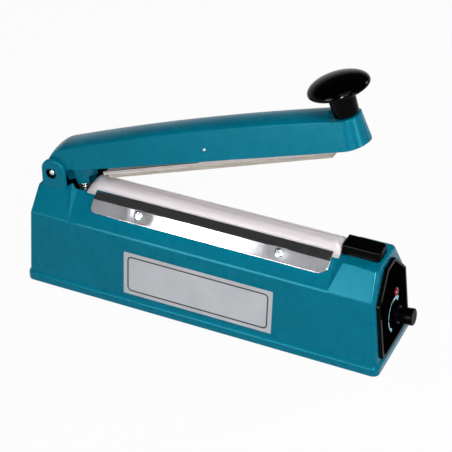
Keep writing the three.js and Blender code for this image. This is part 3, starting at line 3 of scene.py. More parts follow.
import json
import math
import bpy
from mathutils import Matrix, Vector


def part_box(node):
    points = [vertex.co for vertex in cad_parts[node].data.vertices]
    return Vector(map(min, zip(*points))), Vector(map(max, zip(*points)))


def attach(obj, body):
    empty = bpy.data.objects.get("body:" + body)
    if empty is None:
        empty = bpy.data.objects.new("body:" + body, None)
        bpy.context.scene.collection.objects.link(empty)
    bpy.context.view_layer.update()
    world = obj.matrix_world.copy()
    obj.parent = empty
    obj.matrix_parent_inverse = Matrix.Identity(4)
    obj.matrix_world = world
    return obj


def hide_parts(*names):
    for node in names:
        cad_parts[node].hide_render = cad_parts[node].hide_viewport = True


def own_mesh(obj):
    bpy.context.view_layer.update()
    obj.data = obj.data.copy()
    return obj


bl_info = {
    "name": "Hand Impulse Sealer",
    "version": (1, 0, 0),
    "blender": (4, 5, 0),
    "location": "View3D > Sidebar > Sealer",
    "description": "Builds a bench sealer for plastic bags over its packed frame",
    "category": "Add Mesh",
}

import bmesh
import bpy
from bpy.props import FloatProperty, FloatVectorProperty, PointerProperty
from mathutils import Matrix, Vector, noise

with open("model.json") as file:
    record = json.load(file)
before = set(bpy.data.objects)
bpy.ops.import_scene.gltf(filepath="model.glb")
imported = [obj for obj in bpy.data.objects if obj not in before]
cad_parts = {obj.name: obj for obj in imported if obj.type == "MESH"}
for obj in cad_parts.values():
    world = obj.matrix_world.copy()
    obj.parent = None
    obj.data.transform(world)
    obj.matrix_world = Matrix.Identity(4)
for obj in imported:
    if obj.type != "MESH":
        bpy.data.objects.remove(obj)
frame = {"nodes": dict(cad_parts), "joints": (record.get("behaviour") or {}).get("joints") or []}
bpy.context.view_layer.update()
JOINTS = {joint["name"]: joint for joint in frame["joints"]}

MM = 0.001
THROUGH = 30                # half length of a cutter that goes right through
OUTSIDE = 25                # half width from which a cutter comes in from one side

# Casing, in millimetres: x towards the panel from the middle of the base, z up from the skirt
REAR_END = -160
FRONT_END = 160
SKIRT_HEIGHT = 9
SKIRT_HALF = 40
SKIRT_LEDGE = 2.4
SKIRT_CORNER = 6
SKIRT_CHAMFER = 2.3
BODY_HALF = 37.6
FRONT_CORNER = 4
REAR_CORNER = 1.6
WALL = 2.5
CREASE_HEIGHT = 65.7
CREASE_HALF = 33.05
FRONT_LEAN = math.radians(6.2)
REAR_LEAN = math.radians(1.8)
WALL_SUNK = 2               # how far the walls go down into the skirt
SHOULDER_HEIGHT = 84.1
SHOULDER_HALF = 16
RIDGE_HEIGHT = 86
RIDGE_HALF = 9.2
BLOCK_HEIGHT = 87.8
BLOCK_HALF = 19.8
BLOCK_FOOT = 39.5
BLOCK_TOP = 29.5
BLOCK_RAMP = 9.6
EAR_BLOCK_HEIGHT = 85
EAR_BLOCK_FOOT = 40.5
EAR_BLOCK_TOP = 32
EAR_HALF = 17.8
EAR_INNER = 14.6
EAR_WIDTH = 22.2
EAR_REAR = 9.1              # behind the pin
EAR_TOP = 111.8
WELL_FLOOR = 70
WELL_FLOOR_HALF = 25.5
WELL_END = -113
LIP_HALF = 13.5
LIP_START = -122
LIP_END = -111.5
WEB_PEAK = 92.4
WEB_REACH = 4.2
WEB_THICK = 2
ROOF = 2.6                  # above the room under the ridge

# Hinge pin, and the arm in its own frame with the pin at its origin
HINGE_X = -142.4
HINGE_Z = 98.2
PIN_RADIUS = 2.4
PIN_PLAY = 0.15
BLACK_RING_FLANGE = (1.7, 0.5)    # height of its rim and of its floor
COUNTERBORE = 4.8
COUNTERBORE_DEPTH = 2
OPEN_ANGLE = math.radians(18.67)
ARM_REAR = -7.9
ARM_REACH = 286.8
ARM_HALF = 16.5
ARM_EDGE = 0.5
ARM_CROWN = 28.3
ARM_CROWN_X = 188.1
ARM_FALL = 4300
ARM_TOP_HALF = 12.3
ARM_TOP_RISE = 3.3
ARM_SIDE_TOP = ARM_CROWN - ARM_TOP_RISE
ARM_TAPER = (ARM_HALF - ARM_TOP_HALF) / (ARM_SIDE_TOP - ARM_EDGE)
NOSE_SLOPE = 1.9 / (ARM_SIDE_TOP - ARM_EDGE)
ARM_REAR_CORNER = 7
ARM_REAR_ROUND = 28
ARM_REAR_DROP = 9
NECK_HALF = 14.1
NECK_RADIUS = 23.5
NECK_RISE = 5
BOSS_RADIUS = 9.3
BULKHEAD = 30
LUG_START = 5
LUG_END = 26
LUG_NEAR = 5
LUG_DROP = 13
LUG_TOP = 3
CHEEK_START = 16.2
CHEEK_END = 26.5
CHEEK_INNER = 5.2
CHEEK_HALF = 9
CHEEK_DROP = 16

# Handle knob
KNOB_REACH = 273.7
KNOB_SEAT_RADIUS = 14.5
KNOB_SEAT_DROP = 2.7
KNOB_POST = (10, 9)         # radius and depth of the boss below it
KNOB_RADIUS = 24.4
KNOB_UNDER = 5.6
KNOB_OVER = 9.05
KNOB_STEM = 10.7
KNOB_STEM_RISE = 17

# Press bar, in its own frame with its pin at its origin
BAR_PIN = (151, 0, 9.8)
BAR_PIN_RADIUS = 1.5
BAR_PIN_HOLE = 1.95
BAR_TILT = math.radians(1.36)
BAR_LENGTH = 214
BAR_HALF = 8
BAR_SHEET = 1.5
BAR_FLOOR = 17.15
BAR_SIDE = 3.2
BAR_LUG = 14                # half length of a lug at its foot
BAR_LUG_TOP = 6             # and round the pin
BAR_RISE = 3.2
STRIP_HALF = 6.5
STRIP_THICK = 3.8
STRIP_SHORT = 3

# Sealing bar, its cloth and the clamp plates
SEAT = 0.3
SEAL_REAR = -111
SEAL_FRONT = 112.84
SEAL_FOOT = RIDGE_HEIGHT + SEAT
SEAL_HEIGHT = 8.35
SEAL_SLANT = 8.5
SEAL_FRONT_SLANT = 5
SEAL_FRONT_DROP = 3.4
ELEMENT_THICK = 0.25
CLOTH_THICK = 0.35
CLOTH_FLAP = 12.9
CLOTH_FOOT = 8.2            # half width at the sealing bar's foot
CLOTH_CREST = 2.8           # half width of the crest
CLOTH_START = 0.9           # behind the bar's rear end
CLOTH_GAP = SEAT + ELEMENT_THICK + SEAT + CLOTH_THICK
PLATE_GAP = SEAT + CLOTH_THICK + SEAT
PLATE_REAR = -102.45
PLATE_FRONT = 108.04
PLATE_MIDDLE = (PLATE_REAR + PLATE_FRONT) / 2
PLATE_SHEET = 1
PLATE_LEG = 12.8
PLATE_LAP = 7
LAP_SLOPE = math.radians(32)
PLATE_CORNER = 5
PLATE_FRONT_CORNER = 8
PLATE_BURR = 0.12
SCREW_PITCH = 125.3
SCREW_RISE = 5.1
SCREW_HEAD = 3.7
SCREW_HEIGHT = 2
SCREW_SHANK = 1.5
SCREW_TAIL = 8
SCREW_CROSS = (2.072, 0.42)  # half length and half width of its arms
PLATE_DENT = 0.16
DENT_RADIUS = 8
DENT_STEPS = (1.6, 1.5)     # of the cuts that let the plate give, along it and down it

# Return spring
SPRING_RADIUS = 3.9
SPRING_WIRE = 0.6           # radius of the wire
SPRING_TURNS = 7

# Black block beside the sealing bar's rear end: painted shade, a dark piece standing where the
# well lies in shadow
SHADE_BLOCK_REAR = -118
SHADE_BLOCK_FRONT = -104
SHADE_BLOCK_SIDES = (13.4, 15.6)
SHADE_BLOCK_HEIGHT = 9.6

# Terminal cover, and the control panel up its leaning face
COVER_REAR = 113.74
COVER_LENGTH = 32
COVER_HALF = 9.5
COVER_TOP_HALF = 8
COVER_HEIGHT = 7.9
COVER_CORNER = 3.5
COVER_EDGE = 1.3
COVER_ROOM = (1.5, 3, 6.5)  # its roof and rear wall, its front wall and its half width
PANEL_HALF = 30.5
PANEL_FOOT = 0.9
PANEL_SIDE = 52.83
PANEL_TOP = 75.36
PANEL_TOP_HALF = 8.8
PANEL_CORNER = 6
PANEL_THICK = 3
PANEL_RIM = 2.6
PANEL_RECESS = 1
SCALE_TOP = 3.1
LAMP_PLACE = (5.3, 44.8)
LAMP_RADIUS = 2.8
LAMP_FLANGE = 3.6
LAMP_TAIL = 12
BUSH_HOLE = 3.8
DIAL_RISE = 26.8
DIAL_RADIUS = 7.4
DIAL_LENGTH = 16.08
DIAL_ARCS = (               # radius, width, and the angles between which each is printed
    (13.7, 1.3, 46, 118), (13.7, 1.3, 121, 172), (13.7, 1.3, 175, 230),
    (13.5, 2.4, 44, 92), (13.1, 3.6, 42, 60), (13.3, 2.6, 218, 233),
)
INK = 0.06                  # thickness of a print
LABEL_INK = 0.05
LABEL_LENGTH = 133.8
LABEL_WIDTH = 39.8
LABEL_Z = 32.5
LABEL_SHEET = 0.4
BORDER_INSET = (3.4, 3.2)
BORDER_CORNER = 4
BORDER_WIDTH = 1.25

# Camera, from the photograph's view
AZIMUTH, ELEVATION, ROLL = (math.radians(angle) for angle in (24.855, 34.665, -0.094))
TARGET = (5.427, 0, 81.218)
DISTANCE = 1296.613
SENSOR = 36
FOCAL_PIXELS = 1592.893
FRAME_PIXELS = 452

SLOPE = math.atan2(SHOULDER_HEIGHT - CREASE_HEIGHT, CREASE_HALF - SHOULDER_HALF)
SIDE_DRAFT = (BODY_HALF - CREASE_HALF) / (CREASE_HEIGHT - SKIRT_HEIGHT)


def front_x(z):
    """Leaning front face of the casing at a height."""
    return FRONT_END - SKIRT_LEDGE - math.tan(FRONT_LEAN) * (z - SKIRT_HEIGHT)


def rear_x(z):
    """Rear face of the casing at a height."""
    return REAR_END + SKIRT_LEDGE + math.tan(REAR_LEAN) * (z - SKIRT_HEIGHT)


def side_y(z):
    """Half width between the lower walls at a height."""
    return BODY_HALF - SIDE_DRAFT * (z - SKIRT_HEIGHT)


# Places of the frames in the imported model, taken from the hinge's own joint
HINGE = Vector(JOINTS["arm_hinge"]["pos_m"])
BASE = Matrix.Translation(HINGE - Vector((HINGE_X, 0, HINGE_Z)) * MM) @ Matrix.Scale(MM, 4)
ARM = BASE @ Matrix.Translation((HINGE_X, 0, HINGE_Z)) @ Matrix.Rotation(-OPEN_ANGLE, 4, "Y")
BAR = ARM @ Matrix.Translation(BAR_PIN) @ Matrix.Rotation(-BAR_TILT, 4, "Y")
PANEL = BASE @ Matrix.Translation((front_x(SKIRT_HEIGHT), 0, SKIRT_HEIGHT)) @ Matrix((
    (0, -math.sin(FRONT_LEAN), math.cos(FRONT_LEAN), 0),
    (1, 0, 0, 0),
    (0, math.cos(FRONT_LEAN), math.sin(FRONT_LEAN), 0),
    (0, 0, 0, 1),
))


# Shared steps of mesh making
def closed(body):
    """Joins a body's doubled corners and turns its faces outwards."""
    bmesh.ops.remove_doubles(body, verts=body.verts, dist=1e-4)
    bmesh.ops.recalc_face_normals(body, faces=body.faces)
    return body


def moved(body, *place):
    """A body shifted by x, y and z."""
    bmesh.ops.translate(body, vec=place, verts=body.verts)
    return body


def hull(points):
    """A convex body round a few corners, each flat side one face."""
    body = bmesh.new()
    for point in points:
        body.verts.new(point)
    made = bmesh.ops.convex_hull(body, input=body.verts)
    spare = {item for item in made["geom_interior"] + made["geom_unused"]
             if isinstance(item, bmesh.types.BMVert)}
    bmesh.ops.delete(body, geom=list(spare), context="VERTS")
    bmesh.ops.dissolve_limit(body, angle_limit=math.radians(0.4), verts=body.verts,
                             edges=body.edges)
    return closed(body)


def tightened(body):
    """The hull of a convex body, free of the folds that a bevel leaves at a sharp corner."""
    points = [vert.co.copy() for vert in body.verts]
    body.free()
    return hull(points)


def rounded(body, geom, radius, steps, affect="EDGES", clamp=False):
    """Rounds edges, or the corners of a flat body."""
    bmesh.ops.bevel(body, geom=geom, offset=radius, affect=affect, segments=steps, profile=0.5,
                    material=-1, clamp_overlap=clamp)


def box(low, high):
    """A straight block between two corners."""
    body = bmesh.new()
    low, high = Vector(low), Vector(high)
    bmesh.ops.create_cube(body, size=1)
    bmesh.ops.scale(body, vec=high - low, verts=body.verts)
    return closed(moved(body, *((high + low) / 2)))


def rod(radius, low, high, steps=48):
    """A round rod along z."""
    body = bmesh.new()
    bmesh.ops.create_cone(body, cap_ends=True, segments=steps, radius1=radius, radius2=radius,
                          depth=high - low)
    return closed(moved(body, 0, 0, (low + high) / 2))


def across(body, place=(0, 0, 0)):
    """Lays a body that stands along z over to y, at a place."""
    bmesh.ops.rotate(body, cent=(0, 0, 0), matrix=Matrix.Rotation(-math.pi / 2, 3, "X"),
                     verts=body.verts)
    return moved(body, *place)


def turned(profile, steps=64):
    """A round body spun about z from points of radius and height."""
    body = bmesh.new()
    verts = [body.verts.new((radius, 0, height)) for radius, height in profile]
    edges = [body.edges.new(pair) for pair in zip(verts, verts[1:])]
    bmesh.ops.spin(body, geom=verts + edges, cent=(0, 0, 0), axis=(0, 0, 1), angle=2 * math.pi,
                   steps=steps, use_merge=True)
    return closed(body)


def slab(corners, radius, low, high, steps=8):
    """A level plate with rounded upright corners."""
    body = bmesh.new()
    body.faces.new([body.verts.new((x, y, low)) for x, y in corners])
    if radius:
        rounded(body, body.verts[:], radius, steps, "VERTICES")
    lift(body, (0, 0, high - low))
    return closed(body)


def lift(body, vector):
    """Extrudes every face of a flat body along a vector."""
    made = bmesh.ops.extrude_face_region(body, geom=body.faces[:], use_keep_orig=True)
    verts = [item for item in made["geom"] if isinstance(item, bmesh.types.BMVert)]
    bmesh.ops.translate(body, vec=vector, verts=verts)


def prism(section, low, high):
    """A body of one section of y and z between two places along x."""
    body = bmesh.new()
    body.faces.new([body.verts.new((low, y, z)) for y, z in section])
    lift(body, (high - low, 0, 0))
    return closed(body)


def mirrored(half):
    """A half outline of y and z, and its mirror image."""
    return list(half) + [(-y, z) for y, z in reversed(half)]


def drawn_out(body, verts, edges, points):
    """Extrudes a chain of vertices to new places, and gives the new vertices and edges."""
    made = bmesh.ops.extrude_edge_only(body, edges=edges)["geom"]
    fresh = {item for item in made if isinstance(item, bmesh.types.BMVert)}
    new = [next(edge.other_vert(vert) for edge in vert.link_edges
                if edge.other_vert(vert) in fresh) for vert in verts]
    for vert, point in zip(new, points):
        vert.co = point
    edges = [item for item in made if isinstance(item, bmesh.types.BMEdge)
             and item.verts[0] in fresh and item.verts[1] in fresh]
    return new, edges


def lofted(rings):
    """A solid body drawn out from ring to ring, with a face at both ends."""
    body = bmesh.new()
    verts = [body.verts.new(point) for point in rings[0]]
    body.faces.new(verts)
    edges = body.edges[:]
    for ring in rings[1:]:
        verts, edges = drawn_out(body, verts, edges, ring)
    body.faces.new(verts)
    return body


def soften(body, pick, radius, steps=3, clamp=False):
    """Rounds the edges that a test picks."""
    edges = [edge for edge in body.edges if pick(*(vert.co for vert in edge.verts))]
    rounded(body, edges, radius, steps, clamp=clamp)
    bmesh.ops.remove_doubles(body, verts=body.verts, dist=1e-4)
    return body


def corners_of(body, angle):
    """Edges of a body that are sharper than an angle."""
    return [edge for edge in body.edges
            if len(edge.link_faces) == 2 and edge.calc_face_angle(0) > math.radians(angle)]


def level(z, a, b):
    """Whether both ends of an edge are at one height."""
    return abs(a.z - z) < 0.05 and abs(b.z - z) < 0.05


def combined(first, others, operation):
    """A body joined with others, or cut by them."""
    scene = bpy.context.scene.collection
    made = []
    for body in [first, *others]:
        mesh = bpy.data.meshes.new("combine")
        body.to_mesh(mesh)
        body.free()
        made.append(bpy.data.objects.new("combine", mesh))
        scene.objects.link(made[-1])
    for tool in made[1:]:
        modifier = made[0].modifiers.new("combine", "BOOLEAN")
        modifier.operation = operation
        modifier.solver = "EXACT"
        modifier.object = tool
    bpy.context.view_layer.update()
    whole = made[0].evaluated_get(bpy.context.evaluated_depsgraph_get())
    result = bmesh.new()
    result.from_mesh(whole.to_mesh())
    whole.to_mesh_clear()
    for item in made:
        mesh = item.data
        bpy.data.objects.remove(item)
        bpy.data.meshes.remove(mesh)
    bmesh.ops.remove_doubles(result, verts=result.verts, dist=1e-4)
    if not result.faces:
        raise RuntimeError("a boolean left nothing")
    return result


def piece(name, body, place, finish, rides, stands_for=(), sharp=32, even=True):
    """Puts a mesh in the scene as a piece with a finish, which rides on a body of the frame."""
    bmesh.ops.transform(body, matrix=place, verts=body.verts)
    mesh = bpy.data.meshes.new(name)
    body.to_mesh(mesh)
    body.free()
    mesh.shade_smooth()
    mesh.set_sharp_from_angle(angle=math.radians(sharp))
    mesh.materials.append(FINISHES[finish])
    made = bpy.data.objects.new(name, mesh)
    bpy.context.scene.collection.objects.link(made)
    if even:
        modifier = made.modifiers.new("even", "WEIGHTED_NORMAL")
        modifier.keep_sharp = True
        modifier.weight = 80
    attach(made, rides)
    if stands_for:
        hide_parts(*stands_for)
    return made


# Finishes
def linear(code):
    """Linear red, green, blue and alpha of six sRGB hex digits, or of a linear colour."""
    if not isinstance(code, str):
        return [*code, 1]
    parts = [int(code[i:i + 2], 16) / 255 for i in (0, 2, 4)]
    return [p / 12.92 if p <= 0.04045 else ((p + 0.055) / 1.055) ** 2.4 for p in parts] + [1]


def add(tree, kind, settings=None, stops=(), **links):
    """Adds a node with its settings or colour stops, and values or links for its inputs."""
    made = tree.nodes.new(kind)
    for name, value in (settings or {}).items():
        setattr(made, name, value)
    for element, (place, code) in zip(made.color_ramp.elements if stops else (), stops):
        element.position = place
        element.color = linear(code)
    for name, value in links.items():
        key = int(name[1:]) if name[1:].isdigit() else name.replace("_", " ")
        if isinstance(value, bpy.types.NodeSocket):
            tree.links.new(value, made.inputs[key])
        else:
            made.inputs[key].default_value = value
    return made


def blank(name):
    """A new material with an empty tree."""
    made = bpy.data.materials.new(name)
    made.use_nodes = True
    made.node_tree.nodes.clear()
    return made, made.node_tree


def per(millimetres):
    """Scale of a pattern on object coordinates whose repeat is this long."""
    return 1 / (millimetres * MM)


WAVE = 6.28  # in a wave texture's scale, makes a bright and a dark band each one pitch wide


def moulded(name, colour, shade, roughness, grain=0.5, depth=0.00001, gleam=0.5, tint="FFFFFF",
            coat=0.0):
    """Moulded plastic: a faint change of colour over centimetres and a fine grain on the skin."""
    made, tree = blank(name)
    place = add(tree, "ShaderNodeTexCoord").outputs["Object"]
    cloud = add(tree, "ShaderNodeTexNoise", Vector=place, Scale=per(28), Detail=3.0)
    tone = add(tree, "ShaderNodeValToRGB", stops=((0.3, shade), (0.7, colour)),
               Fac=cloud.outputs["Fac"])
    fine = add(tree, "ShaderNodeTexNoise", Vector=place, Scale=per(grain), Detail=2.0)
    rub = add(tree, "ShaderNodeTexNoise", Vector=place, Scale=per(9), Detail=5.0)
    gloss = add(tree, "ShaderNodeMapRange", Value=rub.outputs["Fac"], To_Min=roughness - 0.02,
                To_Max=roughness + 0.03)
    skin = add(tree, "ShaderNodeBump", Height=fine.outputs["Fac"], Distance=depth, Strength=0.5)
    shader = add(tree, "ShaderNodeBsdfPrincipled", Base_Color=tone.outputs["Color"],
                 Roughness=gloss.outputs["Result"], Normal=skin.outputs["Normal"], IOR=1.5,
                 Specular_IOR_Level=gleam, Specular_Tint=linear(tint), Coat_Weight=coat,
                 Coat_Roughness=0.06)
    add(tree, "ShaderNodeOutputMaterial", Surface=shader.outputs[0])
    return made


def metal(name, colour, shade, roughness, streak=(40, 0.6, 0.6), depth=0.000004, spread=0.08):
    """Metal with the streaks of rolling or brushing along one way."""
    made, tree = blank(name)
    place = add(tree, "ShaderNodeTexCoord").outputs["Object"]
    scales = tuple(per(length) for length in streak)
    stretched = add(tree, "ShaderNodeMapping", Vector=place, Scale=scales)
    lines = add(tree, "ShaderNodeTexNoise", Vector=stretched.outputs["Vector"], Scale=1.0,
                Detail=4.0)
    cloud = add(tree, "ShaderNodeTexNoise", Vector=place, Scale=per(14), Detail=4.0)
    tone = add(tree, "ShaderNodeValToRGB", stops=((0.3, shade), (0.7, colour)),
               Fac=cloud.outputs["Fac"])
    gloss = add(tree, "ShaderNodeMapRange", Value=lines.outputs["Fac"], To_Min=roughness - spread,
                To_Max=roughness + spread)
    skin = add(tree, "ShaderNodeBump", Height=lines.outputs["Fac"], Distance=depth, Strength=0.4)
    shader = add(tree, "ShaderNodeBsdfPrincipled", Base_Color=tone.outputs["Color"],
                 Metallic=1.0, Roughness=gloss.outputs["Result"], Normal=skin.outputs["Normal"])
    add(tree, "ShaderNodeOutputMaterial", Surface=shader.outputs[0])
    return made


def cloth_finish(name, colour, shade):
    """Non-stick glass cloth: a plain weave, drawn coarse at a pitch of 1 mm, under a waxy coat."""
    made, tree = blank(name)
    place = add(tree, "ShaderNodeTexCoord").outputs["Object"]
    weft, warp = (add(tree, "ShaderNodeTexWave", {"bands_direction": way}, Vector=place,
                      Scale=per(WAVE), Distortion=0.3) for way in "XZ")
    weave = add(tree, "ShaderNodeMath", {"operation": "MULTIPLY"}, _0=weft.outputs["Fac"],
                _1=warp.outputs["Fac"])
    stretched = add(tree, "ShaderNodeMapping", Vector=place,
                    Scale=(per(120), per(2.2), per(2.2)))
    bands = add(tree, "ShaderNodeTexNoise", Vector=stretched.outputs["Vector"], Scale=1.0,
                Detail=3.0)
    tone = add(tree, "ShaderNodeValToRGB", stops=((0.34, shade), (0.62, colour)),
               Fac=bands.outputs["Fac"])
    bump = add(tree, "ShaderNodeBump", Height=weave.outputs["Value"], Distance=0.00003,
               Strength=0.4)
    shader = add(tree, "ShaderNodeBsdfPrincipled", Base_Color=tone.outputs["Color"],
                 Roughness=0.42, Normal=bump.outputs["Normal"], Sheen_Weight=0.35,
                 Coat_Weight=0.2, Coat_Roughness=0.3)
    add(tree, "ShaderNodeOutputMaterial", Surface=shader.outputs[0])
    return made


def banded(name, colour, shade, pitch, way, roughness, metallic=0.0):
    """Stacked sheets or wound wire: fine lines across one way."""
    made, tree = blank(name)
    place = add(tree, "ShaderNodeTexCoord").outputs["Object"]
    lines = add(tree, "ShaderNodeTexWave", {"bands_direction": way}, Vector=place,
                Scale=per(WAVE * pitch), Distortion=0.4)
    tone = add(tree, "ShaderNodeValToRGB", stops=((0.1, shade), (0.6, colour)),
               Fac=lines.outputs["Fac"])
    bump = add(tree, "ShaderNodeBump", Height=lines.outputs["Fac"], Distance=0.00008, Strength=0.6)
    shader = add(tree, "ShaderNodeBsdfPrincipled", Base_Color=tone.outputs["Color"],
                 Roughness=roughness, Metallic=metallic, Normal=bump.outputs["Normal"])
    add(tree, "ShaderNodeOutputMaterial", Surface=shader.outputs[0])
    return made


def colour_setting(name, description, code):
    """A colour that a user would change."""
    return FloatVectorProperty(name=name, description=description, subtype="COLOR",
                               default=linear(code)[:3], min=0, max=1)


def size_setting(name, description, default, low, high):
    """A size in millimetres that a user would change."""
    return FloatProperty(name=name, description=description, default=default * MM,
                         min=low * MM, max=high * MM, unit="LENGTH")


class SealerColours(bpy.types.PropertyGroup):
    """Colours that a user would change."""

    casing: colour_setting("Casing", "Moulded casing and arm", "007791")
    knob: colour_setting("Knob", "Polished handle knob", "020203")
    black: colour_setting("Black parts", "Panel frame, terminal cover and guard", "040405")
    arc: colour_setting("Dial arc", "Printed arc round the dial", "8FD4E4")
    lens: colour_setting("Pilot lamp", "Lens of the pilot lamp", "A80A0A")


class SealerSizes(bpy.types.PropertyGroup):
    """Sizes that a user would change."""

    casing_edge: size_setting("Casing edges", "Radius of the casing's outer edges", 1.5, 0.3, 1.6)
    ear_edge: size_setting("Ear edges", "Radius of the hinge ears' outer edges", 1.3, 0.3, 1.5)
    plate_bend: size_setting("Plate bend", "Radius of the bend in the clamp plates", 1.6, 0.5, 3)
    lamp_height: size_setting("Lamp dome", "Height of the pilot lamp's dome", 1.6, 0.5, 1.7)


FINISHES = {}


def darker(colour, share):
    """A colour at this share of its light."""
    return [part * share for part in colour]


def make_finishes(colours):
    """Makes every material once, under the name of its finish."""
    FINISHES.update({
        # Injection-moulded ABS in teal: glossy, with faint waves that soften what it reflects
        "casing": moulded("moulded_abs_teal", colours.casing, darker(colours.casing, 0.89), 0.27,
                          grain=1.2, depth=0.000007, gleam=0.18, tint="70E4F4"),
        # Phenolic knob, polished after moulding: near-black with small hard highlights
        "knob": moulded("polished_phenolic_black", colours.knob, darker(colours.knob, 0.5), 0.07,
                        grain=3, depth=0.000004, gleam=0.045),
        # Black ABS cover and panel: deep black, with soft bright lines on the edges only
        "black": moulded("moulded_abs_black", colours.black, darker(colours.black, 0.8), 0.12,
                         grain=1.2, depth=0.000008, gleam=0.035),
        # The dial in fine-grained ABS: a duller black than the panel round it
        "dial": moulded("moulded_abs_dial", "040405", "030303", 0.26, grain=0.8, gleam=0.02),
        # Screen-printed polycarbonate scale: flat black, without a highlight
        "print": moulded("printed_scale_black", "050404", "030303", 0.4, grain=0.7, gleam=0.0),
        # Screen-printing ink of the arc: flat and even
        "ink": moulded("printed_ink_cyan", colours.arc, darker(colours.arc, 0.87), 0.4,
                       grain=0.6),
        # Silver-grey label foil: satin, with a faint cloud
        "label": moulded("satin_label_foil", "C6C8CC", "BBBDC2", 0.42),
        # Printing ink of the label's border: a dull black line
        "border": moulded("label_ink_black", "0E0F11", "0A0B0D", 0.4),
        # Rolled aluminium sheet, polished: bright where it meets the pale room, dark under the arm
        "sheet": metal("polished_aluminium_sheet", "D6D7DA", "C8C9CD", 0.09,
                       streak=(60, 0.5, 0.5), spread=0.02),
        # Rolled aluminium channel, not polished: grey, with dull streaks along it
        "channel": metal("rolled_aluminium_channel", "AAA4A2", "9E9896", 0.34,
                         streak=(80, 0.5, 0.5)),
        # Bright zinc on turned steel: a pale sheen with small mottles
        "steel": metal("zinc_plated_steel", "BABCC0", "A4A6AA", 0.28, streak=(2, 2, 2)),
        # Dull zinc on pressed steel: a broad, cloudy sheen
        "plated": metal("zinc_plated_plate", "A9ACB1", "979AA0", 0.42, streak=(6, 6, 6)),
        # Rolled brass strip: warm yellow, streaked along it
        "brass": metal("rolled_brass", "C2A463", "AA8B4C", 0.32, streak=(12, 1, 1)),
        # Silicone pressed in a rough mould: beige, with hardly a highlight
        "silicone": moulded("pressed_silicone_beige", "B9AFA2", "ABA092", 0.62, grain=0.8,
                            depth=0.00003),
        # Coated glass cloth: pale grey-pink, with a soft shine and long faint bands
        "cloth": cloth_finish("glass_cloth_grey_pink", "DCD3D7", "CBC1C5"),
        # Phenolic paper board, machined: dull red-brown
        "bakelite": moulded("machined_bakelite", "5A2F22", "47241A", 0.5, grain=0.6),
        # Moulded rubber: matt and dark, with a coarse skin
        "rubber": moulded("moulded_rubber_black", "1B1B1C", "151516", 0.8, depth=0.00003),
        # Moulded lens: a wet red with one small bright spot
        "lens": moulded("moulded_lens_red", colours.lens, darker(colours.lens, 0.5), 0.12,
                        grain=2, depth=0.000004, gleam=0.2, coat=0.1),
        # Glass-fibre board under green lacquer: half matt
        "board": moulded("glass_fibre_board", "2F6A3C", "255931", 0.5, grain=0.6),
        # The relay's moulded case: dark blue, half gloss
        "relay": moulded("moulded_relay_blue", "1D2C4F", "182543", 0.4, grain=0.6),
        # Wound enamelled wire: red-brown, in lines that are drawn coarse
        "winding": banded("enamelled_copper_winding", "7A3A1C", "4A210F", 0.8, "Z", 0.4),
        # Stacked core sheets: dark grey, in lines that are drawn coarse
        "core": banded("laminated_core_steel", "6A6D72", "3A3C40", 0.7, "Y", 0.5, 0.7),
    })


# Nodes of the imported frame, by the finish that each has while it shows
NODES = {
    "casing": "base_casing arm_shell",
    "knob": "handle_knob",
    "black": "board_capacitor micro_switch terminal_cover front_bezel",
    "dial": "timer_knob",
    "print": "scale_plate",
    "label": "label_plate",
    "sheet": "clamp_plate_near clamp_plate_far",
    "channel": "press_bar",
    "steel": "base_screw_1 base_screw_2 base_screw_3 base_screw_4 heating_element "
             "clamp_screw_far_1 clamp_screw_far_2 timer_nut timer_shaft strap_screw_1 "
             "strap_screw_2 switch_lever return_spring knob_bolt press_bar_pin hinge_pin "
             "clamp_screw_near_1 clamp_screw_near_2",
    "plated": "bottom_plate timer_body transformer_strap",
    "brass": "front_terminal rear_terminal",
    "silicone": "silicone_strip",
    "cloth": "press_cloth",
    "bakelite": "sealing_bar",
    "rubber": "rubber_foot_1 rubber_foot_2 rubber_foot_3 rubber_foot_4 cord_gland",
    "lens": "pilot_lamp",
    "board": "timer_board",
    "relay": "board_relay",
    "winding": "transformer_coil",
    "core": "transformer_core",
}
NODE_FINISHES = {name: finish for finish, names in NODES.items() for name in names.split()}


# Casing
def casing_walls(x0, x1, levels):
    """Corners of the tapered walls between two ends, each a place or a function of height."""
    points = []
    for z in levels:
        for x in (x0(z) if callable(x0) else x0, x1(z) if callable(x1) else x1):
            points += [(x, side_y(z), z), (x, -side_y(z), z)]
    return points


def upright(x_of, a, b):
    """Whether an edge runs up a corner at one end of the casing."""
    return (abs(a.x - x_of(a.z)) < 0.1 and abs(b.x - x_of(b.z)) < 0.1
            and abs(a.z - b.z) > 3 and a.y * b.y > 0)


def pin_bore():
    """A cutter for the hinge pin's hole."""
    return across(rod(PIN_RADIUS + PIN_PLAY, -THROUGH, THROUGH))


def side_bore(radius, side, depth, steps):
    """A round cutter that comes in from one side as far as a half width."""
    return across(rod(radius, *sorted((side * depth, side * OUTSIDE)), steps))


